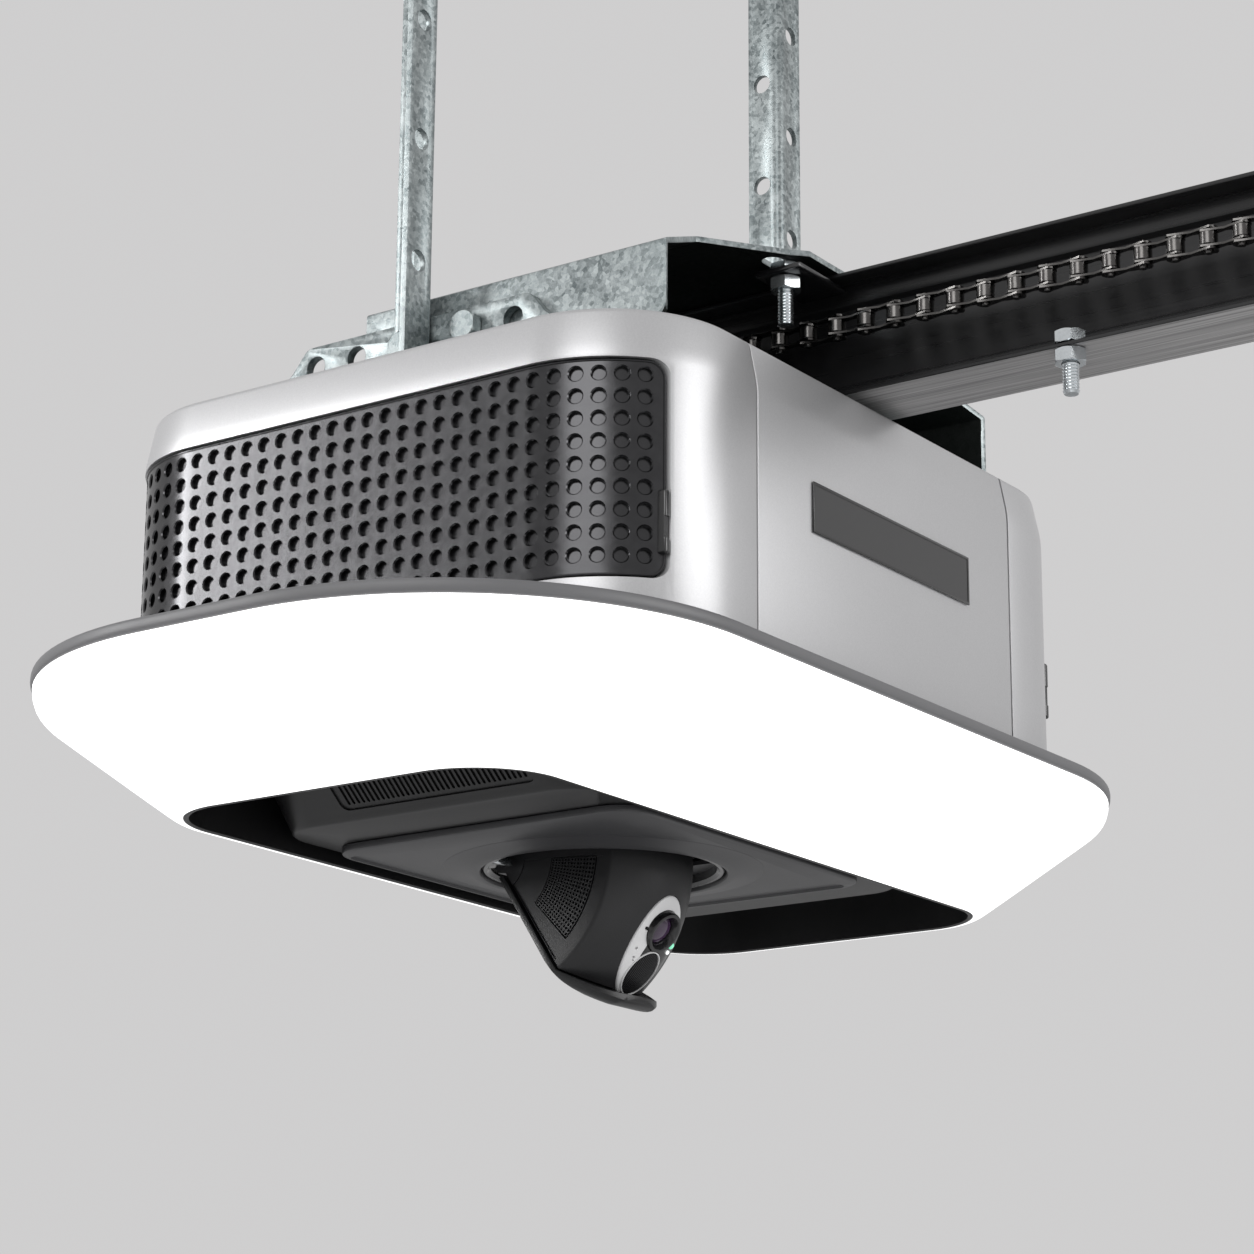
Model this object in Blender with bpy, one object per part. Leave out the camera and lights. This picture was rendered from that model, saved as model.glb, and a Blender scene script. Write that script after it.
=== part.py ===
"""Ceiling-hung garage door opener: a powered head with a rail stub, a chain drive, a lamp ring and a camera.

X runs across the rail, Y along it with the door at -Y, and Z up. Every piece is laid out from the
middle of the chassis plate's upper face. The whole is then let down by STRAP_TOP, which puts the
origin midway between the tops of the two hanging straps. Sizes are written as millimetres times MM.
"""

import math

import bmesh
import bpy
from mathutils import Matrix, Vector

MM = 0.001

# Gap between pieces that touch or are cut by each other.
GAP = 0.3 * MM

# Housing: four painted covers round a steel chassis.
BODY_WIDTH = 317 * MM
BODY_LENGTH = 261 * MM
BODY_HEIGHT = 112.7 * MM
BODY_CORNER = 52 * MM
COVER_WALL = 2.5 * MM
TOP_CHAMFER_DROP = 16 * MM
TOP_CHAMFER_INSET = 3.3 * MM
SEAM_WIDTH = 182 * MM
SEAM_GAP = 1.0 * MM
CHASSIS_SHEET = 2.0 * MM

# Perforated side grilles, which wrap round the corners.
GRILLE_TOP = 19 * MM
GRILLE_BOTTOM = 98.5 * MM
GRILLE_CORNER = 6 * MM
GRILLE_FRONT_REACH = 24.5 * MM
GRILLE_REAR_REACH = 27 * MM
GRILLE_SHEET = 1.8 * MM
GRILLE_INSET = 0.9 * MM
GRILLE_CLEARANCE = 0.7 * MM
LATCH_LENGTH = 24 * MM
LATCH_WIDTH = 3.6 * MM
LATCH_DROP = 68 * MM

BADGE_X = 1 * MM
BADGE_WIDTH = 113 * MM
BADGE_HEIGHT = 19.3 * MM
BADGE_DROP = 43 * MM
BADGE_SHEET = 0.8 * MM

# Lamp: a wide tray with a sloping white diffuser ring under it.
RIM_WIDTH = 478 * MM
RIM_LENGTH = 286 * MM
RIM_CORNER = 118 * MM
RIM_HEIGHT = 5 * MM
TRAY_SHEET = 2.5 * MM
RING_RUN = 67 * MM
RING_RUN_LENGTHWISE = 63 * MM
LIP_CORNER = 33 * MM
LAMP_DROP = 49.7 * MM
LIP_WIDTH = 3 * MM
DIFFUSER_WALL = 2.4 * MM
FRAME_WALL = 2.4 * MM
LED_STRIP_OUTER = 24 * MM
LED_STRIP_WIDTH = 24 * MM
LED_BOARD_SHEET = 1.6 * MM

# Underside: a black pan with vented slopes and a raised camera plate.
PAN_PLATE_DROP = 23 * MM
PAN_SHEET = 2.2 * MM
PAN_BLOCK_WIDTH = 268 * MM
PAN_FLOOR_WIDTH = 222 * MM
PAN_FLOOR_LENGTH = 148 * MM
PAN_BLOCK_DROP = 20.3 * MM
VENT_SLOTS = 9
VENT_PITCH = 9 * MM
VENT_WIDTH = 3.2 * MM
CAMERA_PLATE_WIDTH = 164 * MM
CAMERA_PLATE_LENGTH = 142 * MM
CAMERA_PLATE_CORNER = 15 * MM
CAMERA_PLATE_HEIGHT = 2.6 * MM

# Camera: a turret that pans in the plate, and a pod that swings down on a pin at its rear.
TURRET_RADIUS = 47 * MM
TURRET_WALL = 3.2 * MM
PAN_BORE_RADIUS = 60 * MM
TURRET_HEIGHT = 11 * MM
HINGE_BACK = 31 * MM
HINGE_RISE = 2.4 * MM
PIN_RADIUS = 1.8 * MM
PIN_LENGTH = 62 * MM
POD_WIDTH = 52 * MM
POD_CHEEK_RADIUS = 53 * MM
POD_NOSE_RADIUS = 66 * MM
POD_TOP_ANGLE = math.radians(24)
POD_FACE_ANGLE = math.radians(57)
LUG_LENGTH = 9 * MM
LID_SHEET = 2.2 * MM
LID_TIP_RADIUS = 74.5 * MM
LID_TIP_ANGLE = math.radians(47.6)
FACE_AIM = math.radians(34.6)
FACE_REACH = 58.8 * MM
FACE_RISE = 2.9 * MM
LENS_RADIUS = 8.5 * MM
FACE_PLATE_LENGTH = 41 * MM
FACE_PLATE_WIDTH = 23 * MM
FACE_PLATE_SHEET = 2 * MM
MOTION_WINDOW_RADIUS = 7 * MM
MOTION_WINDOW_STRETCH = 1.25
SPEAKER_OUTER = 46 * MM
SPEAKER_INNER = 25 * MM
SPEAKER_SHEET = 1.2 * MM

# Rail, chain and drive.
RAIL_WIDTH = 35 * MM
RAIL_HEIGHT = 49.5 * MM
RAIL_SHEET = 1.6 * MM
RAIL_WEB = 4 * MM
RAIL_FOLD_WIDTH = 10 * MM
RAIL_FOLD_HEIGHT = 8 * MM
RAIL_LIFT = 3.4 * MM
RAIL_FRONT = 400 * MM
RAIL_REAR = 10 * MM
CHAIN_OFFSET = 16.6 * MM
CHAIN_LIFT = 31.3 * MM
CHAIN_WIDTH = 7 * MM
CHAIN_HEIGHT = 10.6 * MM
SHAFT_Y = 35 * MM
SHAFT_RADIUS = 5 * MM
SPROCKET_RADIUS = 12.6 * MM
SPROCKET_HEIGHT = 9 * MM
GEAR_RADIUS = 24 * MM
GEAR_HEIGHT = 11 * MM
GEAR_DROP = 40 * MM
GEAR_TEETH = 24
CASE_MARGIN = 9 * MM
WORM_RADIUS = 6.5 * MM
WORM_LENGTH = 30 * MM
MOTOR_RADIUS = 29 * MM
MOTOR_LENGTH = 84 * MM
MOTOR_WALL = 2.5 * MM

# Hanging steelwork on top.
HAT_WIDTH = 232 * MM
HAT_CROWN_WIDTH = 146 * MM
HAT_SHOULDER_DROP = 19 * MM
HAT_SHEET = 2.2 * MM
HAT_NOSE_WIDTH = 74 * MM
HAT_NOSE_Y = -119 * MM
HAT_NECK_Y = -92 * MM
HAT_FLANGE_Y = -108 * MM
HAT_REAR_Y = 30 * MM
HAT_FLANGE_LOW = 4.5 * MM
HAT_CORNER = 9 * MM
BAR_SHEET = 4 * MM
BAR_HEIGHT = 27 * MM
BAR_FRONT = -61 * MM
BAR_REAR = 66 * MM
BAR_SLOPE = 13 * MM
BAR_FOOT = 24 * MM
BAR_HOLE_RADIUS = 4.4 * MM
BAR_HOLES = (-43 * MM, 31 * MM, 51 * MM)
BAR_HOLE_LIFT = 18.5 * MM
STRAP_LEG = 16.5 * MM
STRAP_SHEET = 2.5 * MM
STRAP_FRONT = -6 * MM
STRAP_FOOT = 4 * MM
STRAP_TOP = 280 * MM
STRAP_HOLE_RADIUS = 4.2 * MM
STRAP_HOLE_PITCH = 49 * MM
STRAP_HOLE_COUNT = 5
STRAP_SIDE_HOLE_LIFT = 70.5 * MM
STRAP_FRONT_HOLE_LIFT = 46 * MM
JAW_LENGTH = 36 * MM
JAW_WIDTH = 30 * MM
JAW_SHEET = 2.2 * MM
JAW_SLOT = 29 * MM
CLAMP_BOLT_TIP = 28.5 * MM
BOLT_RADIUS = 3.1 * MM
BOLT_HEX = 11 * MM
BOLT_HEAD = 4.8 * MM
NUT_HEIGHT = 5 * MM
WASHER_RADIUS = 7.4 * MM
WASHER_SHEET = 1.4 * MM
BOLT_CLEARANCE = 0.5 * MM

# Rear panel fittings.
BUTTON_RADIUS = 4.5 * MM
BUTTON_PROUD = 2.2 * MM
BUTTON_DEPTH = 9 * MM
BUTTON_PITCH = 17 * MM
BUTTON_X = -54 * MM
BUTTON_DROP = 40 * MM
FIT_CLEARANCE = 0.4 * MM
INLET_WIDTH = 28 * MM
INLET_HEIGHT = 21 * MM
INLET_X = 55 * MM
INLET_DROP = 76 * MM

ARC_STEPS = 7
ROUND_SIDES = 20

# Values that follow from the ones above.
HALF_X = BODY_WIDTH / 2
HALF_Y = BODY_LENGTH / 2
BODY_BOTTOM = -BODY_HEIGHT
TRAY_TOP = BODY_BOTTOM - GAP
RIM_BOTTOM = TRAY_TOP - RIM_HEIGHT
LIP_Z = TRAY_TOP - LAMP_DROP
OPEN_Y = RIM_LENGTH / 2 - RING_RUN_LENGTHWISE
PAN_TOP = TRAY_TOP - PAN_PLATE_DROP
PAN_FLOOR = PAN_TOP - PAN_SHEET - PAN_BLOCK_DROP
PLATE_TOP = PAN_FLOOR - GAP
PLATE_BOTTOM = PLATE_TOP - CAMERA_PLATE_HEIGHT
HINGE_Z = PLATE_BOTTOM + HINGE_RISE
CHIN_FALL = LID_TIP_RADIUS * math.sin(LID_TIP_ANGLE) - POD_CHEEK_RADIUS * math.sin(POD_FACE_ANGLE)
CHIN_RUN = LID_TIP_RADIUS * math.cos(LID_TIP_ANGLE) - POD_CHEEK_RADIUS * math.cos(POD_FACE_ANGLE)
POD_CHIN_ANGLE = math.atan2(CHIN_FALL, CHIN_RUN)
CHAIN_Z = CHAIN_LIFT
GEAR_Z = -GEAR_DROP
WORM_Y = SHAFT_Y + GEAR_RADIUS + WORM_RADIUS + GAP
RAIL_TOP = RAIL_LIFT + RAIL_HEIGHT
HAT_TOP = RAIL_TOP + GAP + HAT_SHEET

SILVER = ("silver_paint", (0.62, 0.62, 0.63), 0.38, 0.55)
BLACK = ("black_plastic", (0.02, 0.02, 0.022), 0.42, 0.0)
DARK = ("charcoal_plastic", (0.06, 0.06, 0.065), 0.45, 0.0)
WHITE = ("lamp_white", (0.95, 0.95, 0.95), 0.5, 0.0)
GREY = ("rim_grey", (0.35, 0.35, 0.36), 0.45, 0.3)
ZINC = ("galvanised_steel", (0.55, 0.57, 0.58), 0.42, 0.9)
RAIL_BLACK = ("rail_black", (0.015, 0.015, 0.017), 0.35, 0.2)
STEEL = ("bright_steel", (0.6, 0.62, 0.64), 0.28, 1.0)
CHAIN_STEEL = ("chain_steel", (0.12, 0.12, 0.12), 0.35, 1.0)
GLASS = ("lens_glass", (0.03, 0.02, 0.05), 0.05, 0.0)
BOARD = ("circuit_board", (0.03, 0.16, 0.08), 0.5, 0.0)
NYLON = ("nylon", (0.85, 0.84, 0.78), 0.5, 0.0)


def clear_scene():
    for item in list(bpy.data.objects):
        bpy.data.objects.remove(item, do_unlink=True)


def material(finish):
    name, colour, roughness, metallic = finish
    made = bpy.data.materials.get(name)
    if made is None:
        made = bpy.data.materials.new(name)
        made.use_nodes = True
        shader = made.node_tree.nodes["Principled BSDF"]
        shader.inputs["Base Color"].default_value = (*colour, 1.0)
        shader.inputs["Roughness"].default_value = roughness
        shader.inputs["Metallic"].default_value = metallic
    return made


def add_object(name, shape, finish, origin=(0, 0, 0)):
    """Turn a bmesh in world coordinates into an object whose origin is at the given point."""
    bmesh.ops.recalc_face_normals(shape, faces=shape.faces)
    bmesh.ops.translate(shape, verts=shape.verts, vec=-Vector(origin))
    hung = Vector(origin) - Vector((0, 0, STRAP_TOP))
    mesh = bpy.data.meshes.new(name)
    shape.to_mesh(mesh)
    shape.free()
    mesh.materials.append(material(finish))
    mesh.shade_smooth()
    mesh.set_sharp_from_angle(angle=math.radians(32))
    made = bpy.data.objects.new(name, mesh)
    made.location = hung
    bpy.context.scene.collection.objects.link(made)
    return made


def outline(half_x, half_y, radius, z, centre=(0.0, 0.0)):
    """Points round a rectangle with arc corners, at one height."""
    radius = min(radius, half_x, half_y)
    points = []
    for quarter in range(4):
        middle = math.radians(45 + 90 * quarter)
        corner_x = centre[0] + math.copysign(half_x - radius, math.cos(middle))
        corner_y = centre[1] + math.copysign(half_y - radius, math.sin(middle))
        for step in range(ARC_STEPS + 1):
            angle = math.radians(90 * quarter + 90 * step / ARC_STEPS)
            x = corner_x + radius * math.cos(angle)
            y = corner_y + radius * math.sin(angle)
            points.append(Vector((x, y, z)))
    return points


def body_ring(inset, z):
    """Housing outline, moved in from the outer face by inset."""
    return outline(HALF_X - inset, HALF_Y - inset, BODY_CORNER - inset, z)


def lamp_ring(inset, z):
    """Lamp outline, moved in from the rim by inset. It turns from the rim's wide corners to the lip's tight ones."""
    share = inset / RING_RUN
    half_y = RIM_LENGTH / 2 - RING_RUN_LENGTHWISE * share
    return outline(RIM_WIDTH / 2 - inset, half_y, RIM_CORNER - (RIM_CORNER - LIP_CORNER) * share, z)


def loft(name, rings, finish, loop=False, origin=(0, 0, 0)):
    """Skin a row of rings. A loop joins the last ring to the first, and the rest get end caps."""
    shape = bmesh.new()
    rows = [[shape.verts.new(point) for point in ring] for ring in rings]
    pairs = list(zip(rows, rows[1:]))
    if loop:
        pairs.append((rows[-1], rows[0]))
    else:
        shape.faces.new(rows[0])
        shape.faces.new(rows[-1])
    for low, high in pairs:
        count = len(low)
        for index in range(count):
            after = (index + 1) % count
            shape.faces.new((low[index], low[after], high[after], high[index]))
    return add_object(name, shape, finish, origin)


def box(name, low, high, finish, bevel=0.0, origin=None):
    shape = bmesh.new()
    size = Vector(high) - Vector(low)
    middle = (Vector(high) + Vector(low)) / 2
    bmesh.ops.create_cube(shape, size=1, matrix=Matrix.Translation(middle) @ Matrix.Diagonal((*size, 1)))
    if bevel:
        bmesh.ops.bevel(shape, geom=shape.edges, offset=bevel, segments=2, affect="EDGES", profile=0.5)
    return add_object(name, shape, finish, origin or (0, 0, 0))


def prism(name, points, axis, start, end, finish, origin=(0, 0, 0)):
    """Extrude a flat outline along an axis. The outline's two values are the other two axes in order."""
    others = [index for index in range(3) if index != axis]

    def place(pair, along):
        spot = [0.0, 0.0, 0.0]
        spot[axis] = along
        spot[others[0]] = pair[0]
        spot[others[1]] = pair[1]
        return Vector(spot)

    rings = [[place(pair, along) for pair in points] for along in (start, end)]
    return loft(name, rings, finish, origin=origin)


def circle(radius, sides=ROUND_SIDES, centre=(0.0, 0.0), turn=0.0):
    angles = [turn + 2 * math.pi * side / sides for side in range(sides)]
    return [(centre[0] + radius * math.cos(a), centre[1] + radius * math.sin(a)) for a in angles]


def arc(radius, start, end, steps, centre=(0.0, 0.0)):
    angles = [start + (end - start) * step / steps for step in range(steps + 1)]
    return [(centre[0] + radius * math.cos(a), centre[1] + radius * math.sin(a)) for a in angles]


def rod(name, axis, start, end, centre, radius, finish, sides=ROUND_SIDES, origin=(0, 0, 0)):
    return prism(name, circle(radius, sides, centre), axis, start, end, finish, origin)


def helper(item):
    item.hide_render = True
    item.display_type = "WIRE"
    return item


def boolean(target, tool, operation):
    step = target.modifiers.new(f"{operation.lower()}_{tool.name}", "BOOLEAN")
    step.operation = operation
    step.object = helper(tool)
    step.solver = "EXACT"


def cut(target, *tools):
    for tool in tools:
        boolean(target, tool, "DIFFERENCE")
    return target


def weld(target, *tools):
    for tool in tools:
        boolean(target, tool, "UNION")
    return target


def keep(target, tool):
    boolean(target, tool, "INTERSECT")
    return target


def cover_tube(name):
    """The whole wrap of the housing, from which each cover keeps its own stretch."""
    rings = [
        body_ring(0, BODY_BOTTOM),
        body_ring(0, -TOP_CHAMFER_DROP),
        body_ring(TOP_CHAMFER_INSET, 0),
        body_ring(TOP_CHAMFER_INSET + COVER_WALL, 0),
        body_ring(COVER_WALL, -TOP_CHAMFER_DROP),
        body_ring(COVER_WALL, BODY_BOTTOM),
    ]
    return loft(name, rings, SILVER, loop=True)


def grille_cutter(name, side, grow):
    """The window in a side cover: shallow round the front corner and deep round the rear one."""
    low = -GRILLE_BOTTOM - grow
    high = -GRILLE_TOP + grow
    pieces = []
    for label, reach, start, end in (
        ("front", GRILLE_FRONT_REACH, -HALF_Y * 2, GAP),
        ("rear", GRILLE_REAR_REACH, 0, HALF_Y * 2),
    ):
        inner = HALF_X - reach - grow
        corner = GRILLE_CORNER + grow
        points = [(HALF_X * 2, low)]
        points += [(HALF_X * 2, high)]
        points += arc(corner, math.radians(90), math.radians(180), 4, (inner + corner, high - corner))
        points += arc(corner, math.radians(180), math.radians(270), 4, (inner + corner, low + corner))
        points = [(side * x, z) for x, z in points]
        pieces.append(prism(f"{name}_{label}", points, 1, start, end, BLACK))
    return weld(pieces[0], pieces[1])


def make_covers():
    half_seam = SEAM_WIDTH / 2
    far = HALF_X * 2
    for name, low_y, high_y in (("front_panel", -far, 0), ("rear_panel", 0, far)):
        panel = cover_tube(name)
        region = box(f"{name}_region", (-half_seam, low_y, -far), (half_seam, high_y, far), SILVER)
        keep(panel, region)
    for name, side in (("left_cover", -1), ("right_cover", 1)):
        cover = cover_tube(name)
        edges = sorted((side * (half_seam + SEAM_GAP), side * far))
        region = box(f"{name}_region", (edges[0], -far, -far), (edges[1], far, far), SILVER)
        keep(cover, region)
        cut(cover, grille_cutter(f"{name}_window", side, 0))


def make_grilles():
    for name, side in (("left_grille", -1), ("right_grille", 1)):
        low = -GRILLE_BOTTOM - GRILLE_CORNER
        high = -GRILLE_TOP + GRILLE_CORNER
        rings = [
            body_ring(GRILLE_INSET, low),
            body_ring(GRILLE_INSET, high),
            body_ring(GRILLE_INSET + GRILLE_SHEET, high),
            body_ring(GRILLE_INSET + GRILLE_SHEET, low),
        ]
        grille = loft(name, rings, BLACK, loop=True)
        keep(grille, grille_cutter(f"{name}_edge", side, -GRILLE_CLEARANCE))


def make_chassis():
    inset = TOP_CHAMFER_INSET + COVER_WALL + GAP
    plate = loft("chassis_plate", [body_ring(inset, -CHASSIS_SHEET), body_ring(inset, 0)], ZINC)
    bore = rod("shaft_bore", 2, -0.01, 0.01, (0, SHAFT_Y), SHAFT_RADIUS + BOLT_CLEARANCE, ZINC)
    cut(plate, bore)


def make_lamp():
    rim = [
        lamp_ring(0.8 * MM, TRAY_TOP),
        lamp_ring(0, TRAY_TOP - 1.0 * MM),
        lamp_ring(0, RIM_BOTTOM + 0.6 * MM),
        lamp_ring(0.8 * MM, RIM_BOTTOM),
        lamp_ring(3.4 * MM, RIM_BOTTOM),
        lamp_ring(3.4 * MM, TRAY_TOP - TRAY_SHEET),
        lamp_ring(RING_RUN - FRAME_WALL - LIP_WIDTH, TRAY_TOP - TRAY_SHEET),
        lamp_ring(RING_RUN - FRAME_WALL - LIP_WIDTH, TRAY_TOP),
    ]
    loft("light_tray", rim, GREY, loop=True)

    slope_in = 9 * MM
    slope_out = RING_RUN - 8 * MM
    top = RIM_BOTTOM - GAP
    skin = [
        (1.4 * MM, top),
        (1.8 * MM, top - 3.2 * MM),
        (4.0 * MM, top - 7.0 * MM),
        (slope_in, top - 10.5 * MM),
        (slope_out, LIP_Z + 3.6 * MM),
        (RING_RUN - 3.2 * MM, LIP_Z + 0.8 * MM),
        (RING_RUN, LIP_Z),
        (RING_RUN, LIP_Z + DIFFUSER_WALL),
        (slope_out, LIP_Z + 3.6 * MM + DIFFUSER_WALL + 0.4 * MM),
        (slope_in, top - 10.5 * MM + DIFFUSER_WALL + 0.4 * MM),
        (4.0 * MM + DIFFUSER_WALL, top - 5.4 * MM),
        (1.6 * MM + DIFFUSER_WALL, top),
    ]
    loft("light_diffuser", [lamp_ring(inset, z) for inset, z in skin], WHITE, loop=True)

    board_top = TRAY_TOP - TRAY_SHEET - GAP
    board_low = board_top - LED_BOARD_SHEET
    board = [
        lamp_ring(LED_STRIP_OUTER, board_low),
        lamp_ring(LED_STRIP_OUTER, board_top),
        lamp_ring(LED_STRIP_OUTER + LED_STRIP_WIDTH, board_top),
        lamp_ring(LED_STRIP_OUTER + LED_STRIP_WIDTH, board_low),
    ]
    loft("led_board", board, BOARD, loop=True)


def make_pan():
    """Bottom pan: a flat plate, then sloping walls down to a floor that carries the camera plate."""
    edge = FRAME_WALL + GAP
    wall_top = TRAY_TOP - TRAY_SHEET - GAP
    block_x = PAN_BLOCK_WIDTH / 2
    block_y = OPEN_Y - edge - 2.5 * MM
    floor_x = PAN_FLOOR_WIDTH / 2
    floor_y = PAN_FLOOR_LENGTH / 2
    under = PAN_TOP - PAN_SHEET
    wall = PAN_SHEET
    rings = [
        outline(floor_x - 2 * MM, floor_y - 1 * MM, 18 * MM, PAN_FLOOR),
        outline(floor_x, floor_y, 20 * MM, PAN_FLOOR + 1.5 * MM),
        outline(block_x - 3 * MM, block_y - 0.4 * MM, 28 * MM, under - 2 * MM),
        outline(block_x, block_y, 30 * MM, under),
        lamp_ring(RING_RUN + edge, under),
        lamp_ring(RING_RUN + edge, LIP_Z),
        lamp_ring(RING_RUN + GAP, LIP_Z),
        lamp_ring(RING_RUN + GAP, wall_top),
        lamp_ring(RING_RUN + edge, wall_top),
        lamp_ring(RING_RUN + edge, PAN_TOP),
        outline(block_x - wall, block_y - wall, 28 * MM, PAN_TOP),
        outline(floor_x - 2 * wall, floor_y - wall - 1 * MM, 17 * MM, PAN_FLOOR + wall),
    ]
    pan = loft("base_pan", rings, BLACK)
    cut(pan, rod("pan_bore", 2, PAN_FLOOR - 0.01, PAN_FLOOR + 0.01, (0, 0), PAN_BORE_RADIUS, BLACK, 32))
    for side in (-1, 1):
        for slot in range(VENT_SLOTS):
            middle = (slot - (VENT_SLOTS - 1) / 2) * VENT_PITCH
            ends = sorted((side * (floor_x - 1 * MM), side * (block_x + 4 * MM)))
            low = (ends[0], middle - VENT_WIDTH / 2, PAN_FLOOR + 4.5 * MM)
            high = (ends[1], middle + VENT_WIDTH / 2, under - 3.5 * MM)
            cut(pan, box(f"vent_{side}_{slot}", low, high, BLACK))

    half_x = CAMERA_PLATE_WIDTH / 2
    half_y = CAMERA_PLATE_LENGTH / 2
    radius = CAMERA_PLATE_CORNER
    plate = loft(
        "camera_plate",
        [
            outline(half_x, half_y, radius, PLATE_TOP),
            outline(half_x, half_y, radius, PLATE_BOTTOM + 1 * MM),
            outline(half_x - 1 * MM, half_y - 1 * MM, radius - 1 * MM, PLATE_BOTTOM),
        ],
        DARK,
    )
    hole = rod("plate_bore", 2, PLATE_BOTTOM - 0.01, PLATE_TOP + 0.01, (0, 0), TURRET_RADIUS + FIT_CLEARANCE, DARK, 32)
    cut(plate, hole)


def make_turret():
    inner = TURRET_RADIUS - TURRET_WALL
    low = PLATE_BOTTOM - 0.8 * MM
    high = low + TURRET_HEIGHT
    profile = [(TURRET_RADIUS, low + 0.8 * MM), (TURRET_RADIUS, high), (inner, high), (inner, low)]
    profile += [(TURRET_RADIUS - 0.8 * MM, low)]
    rings = [[Vector((x, y, z)) for x, y in circle(r, 32)] for r, z in profile]
    ring = loft("camera_turret", rings, BLACK, loop=True)
    for side in (-1, 1):
        inner_x = POD_WIDTH / 2 + 2 * GAP
        ends = sorted((side * inner_x, side * TURRET_RADIUS))
        half = LUG_LENGTH / 2
        lug = box(f"lug_{side}", (ends[0], HINGE_BACK - half, low + 0.5 * MM), (ends[1], HINGE_BACK + half, high), BLACK)
        keep(lug, rod(f"lug_trim_{side}", 2, low - 0.01, high + 0.01, (0, 0), inner + 1 * MM, BLACK, 32))
        weld(ring, lug)
    bore = rod("pin_bore", 0, -POD_WIDTH, POD_WIDTH, (HINGE_BACK, HINGE_Z), PIN_RADIUS + GAP, BLACK, 12)
    cut(ring, bore)


def pod_point(radius, angle):
    """A point in Y and Z at a radius from the tilt pin, with the angle measured down from -Y."""
    return HINGE_BACK - radius * math.cos(angle), HINGE_Z - radius * math.sin(angle)


def pod_radius(x):
    """Radius of the pod's front about the tilt pin, which swells from the cheeks to the middle."""
    swell = POD_NOSE_RADIUS - POD_CHEEK_RADIUS
    half = POD_WIDTH / 2
    plan = (half * half + swell * swell) / (2 * swell)
    return POD_CHEEK_RADIUS + swell - plan + math.sqrt(max(plan * plan - x * x, 0))


def chin_end(radius):
    """Angle below -Y at which the chin meets the pod's front at this radius."""
    knee = Vector(pod_point(POD_CHEEK_RADIUS, POD_FACE_ANGLE)) - Vector((HINGE_BACK, HINGE_Z))
    along = Vector((-math.cos(POD_CHIN_ANGLE), -math.sin(POD_CHIN_ANGLE)))
    middle = knee.dot(along)
    reach = -middle + math.sqrt(middle * middle + radius * radius - knee.length_squared)
    spot = knee + along * reach
    return math.atan2(-spot.y, -spot.x)


def make_pod():
    hinge = (0, HINGE_BACK, HINGE_Z)
    half = POD_WIDTH / 2
    rings = []
    for step in range(-4, 5):
        x = half * math.sin(math.radians(22.5 * step))
        radius = pod_radius(x)
        end = chin_end(radius)
        points = [pod_point(radius, -POD_TOP_ANGLE + (end + POD_TOP_ANGLE) * k / 9) for k in range(10)]
        points += [pod_point(POD_CHEEK_RADIUS - 0.4 * MM, POD_FACE_ANGLE)]
        points += [pod_point(6 * MM, POD_FACE_ANGLE), (HINGE_BACK + 0.5 * MM, HINGE_Z - 4.6 * MM)]
        points += [(HINGE_BACK + 3.4 * MM, HINGE_Z - 0.5 * MM), (HINGE_BACK + 2.2 * MM, HINGE_Z + 2.8 * MM)]
        points += [(HINGE_BACK - 8 * MM, HINGE_Z + 6 * MM)]
        rings.append([Vector((x, y, z)) for y, z in points])
    shell = loft("pod_shell", rings, DARK, origin=hinge)
    keep(shell, rod("pod_plan", 2, -0.3, 0, (0, 0), TURRET_RADIUS - TURRET_WALL - 1.8 * MM, DARK, 32))
    cut(shell, rod("pod_bore", 0, -POD_WIDTH, POD_WIDTH, (HINGE_BACK, HINGE_Z), PIN_RADIUS + GAP, DARK, 12))

    # The lid follows the flat face and then the chin, and its front edge is round in plan.
    def lid_line(drop):
        knee = pod_point(POD_CHEEK_RADIUS, POD_FACE_ANGLE)
        tip = pod_point(LID_TIP_RADIUS, LID_TIP_ANGLE)
        start = pod_point(6.5 * MM, POD_FACE_ANGLE)
        square = (math.sin(POD_FACE_ANGLE), -math.cos(POD_FACE_ANGLE))
        chin = (math.sin(POD_CHIN_ANGLE), -math.cos(POD_CHIN_ANGLE))
        bend = (square[0] + chin[0], square[1] + chin[1])
        return [
            (start[0] + square[0] * drop, start[1] + square[1] * drop),
            (knee[0] + bend[0] * drop / 1.94, knee[1] + bend[1] * drop / 1.94),
            (tip[0] + chin[0] * drop, tip[1] + chin[1] * drop),
        ]

    upper = lid_line(2 * GAP)
    lower = lid_line(2 * GAP + LID_SHEET)
    wide = half + 1.5 * MM
    lid = prism("pod_lid", upper + lower[::-1], 0, -wide, wide, BLACK, origin=hinge)
    tip_y = pod_point(LID_TIP_RADIUS, LID_TIP_ANGLE)[0]
    plan = [(-wide, 0.1), (-wide, tip_y + wide)]
    plan += arc(wide, math.pi, 2 * math.pi, 16, (0, tip_y + wide))[1:-1]
    plan += [(wide, tip_y + wide), (wide, 0.1)]
    keep(lid, prism("lid_plan", plan, 2, -0.3, 0, BLACK))
    pin_half = PIN_LENGTH / 2
    rod("tilt_pin", 0, -pin_half, pin_half, (HINGE_BACK, HINGE_Z), PIN_RADIUS, STEEL, 12, hinge)


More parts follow.
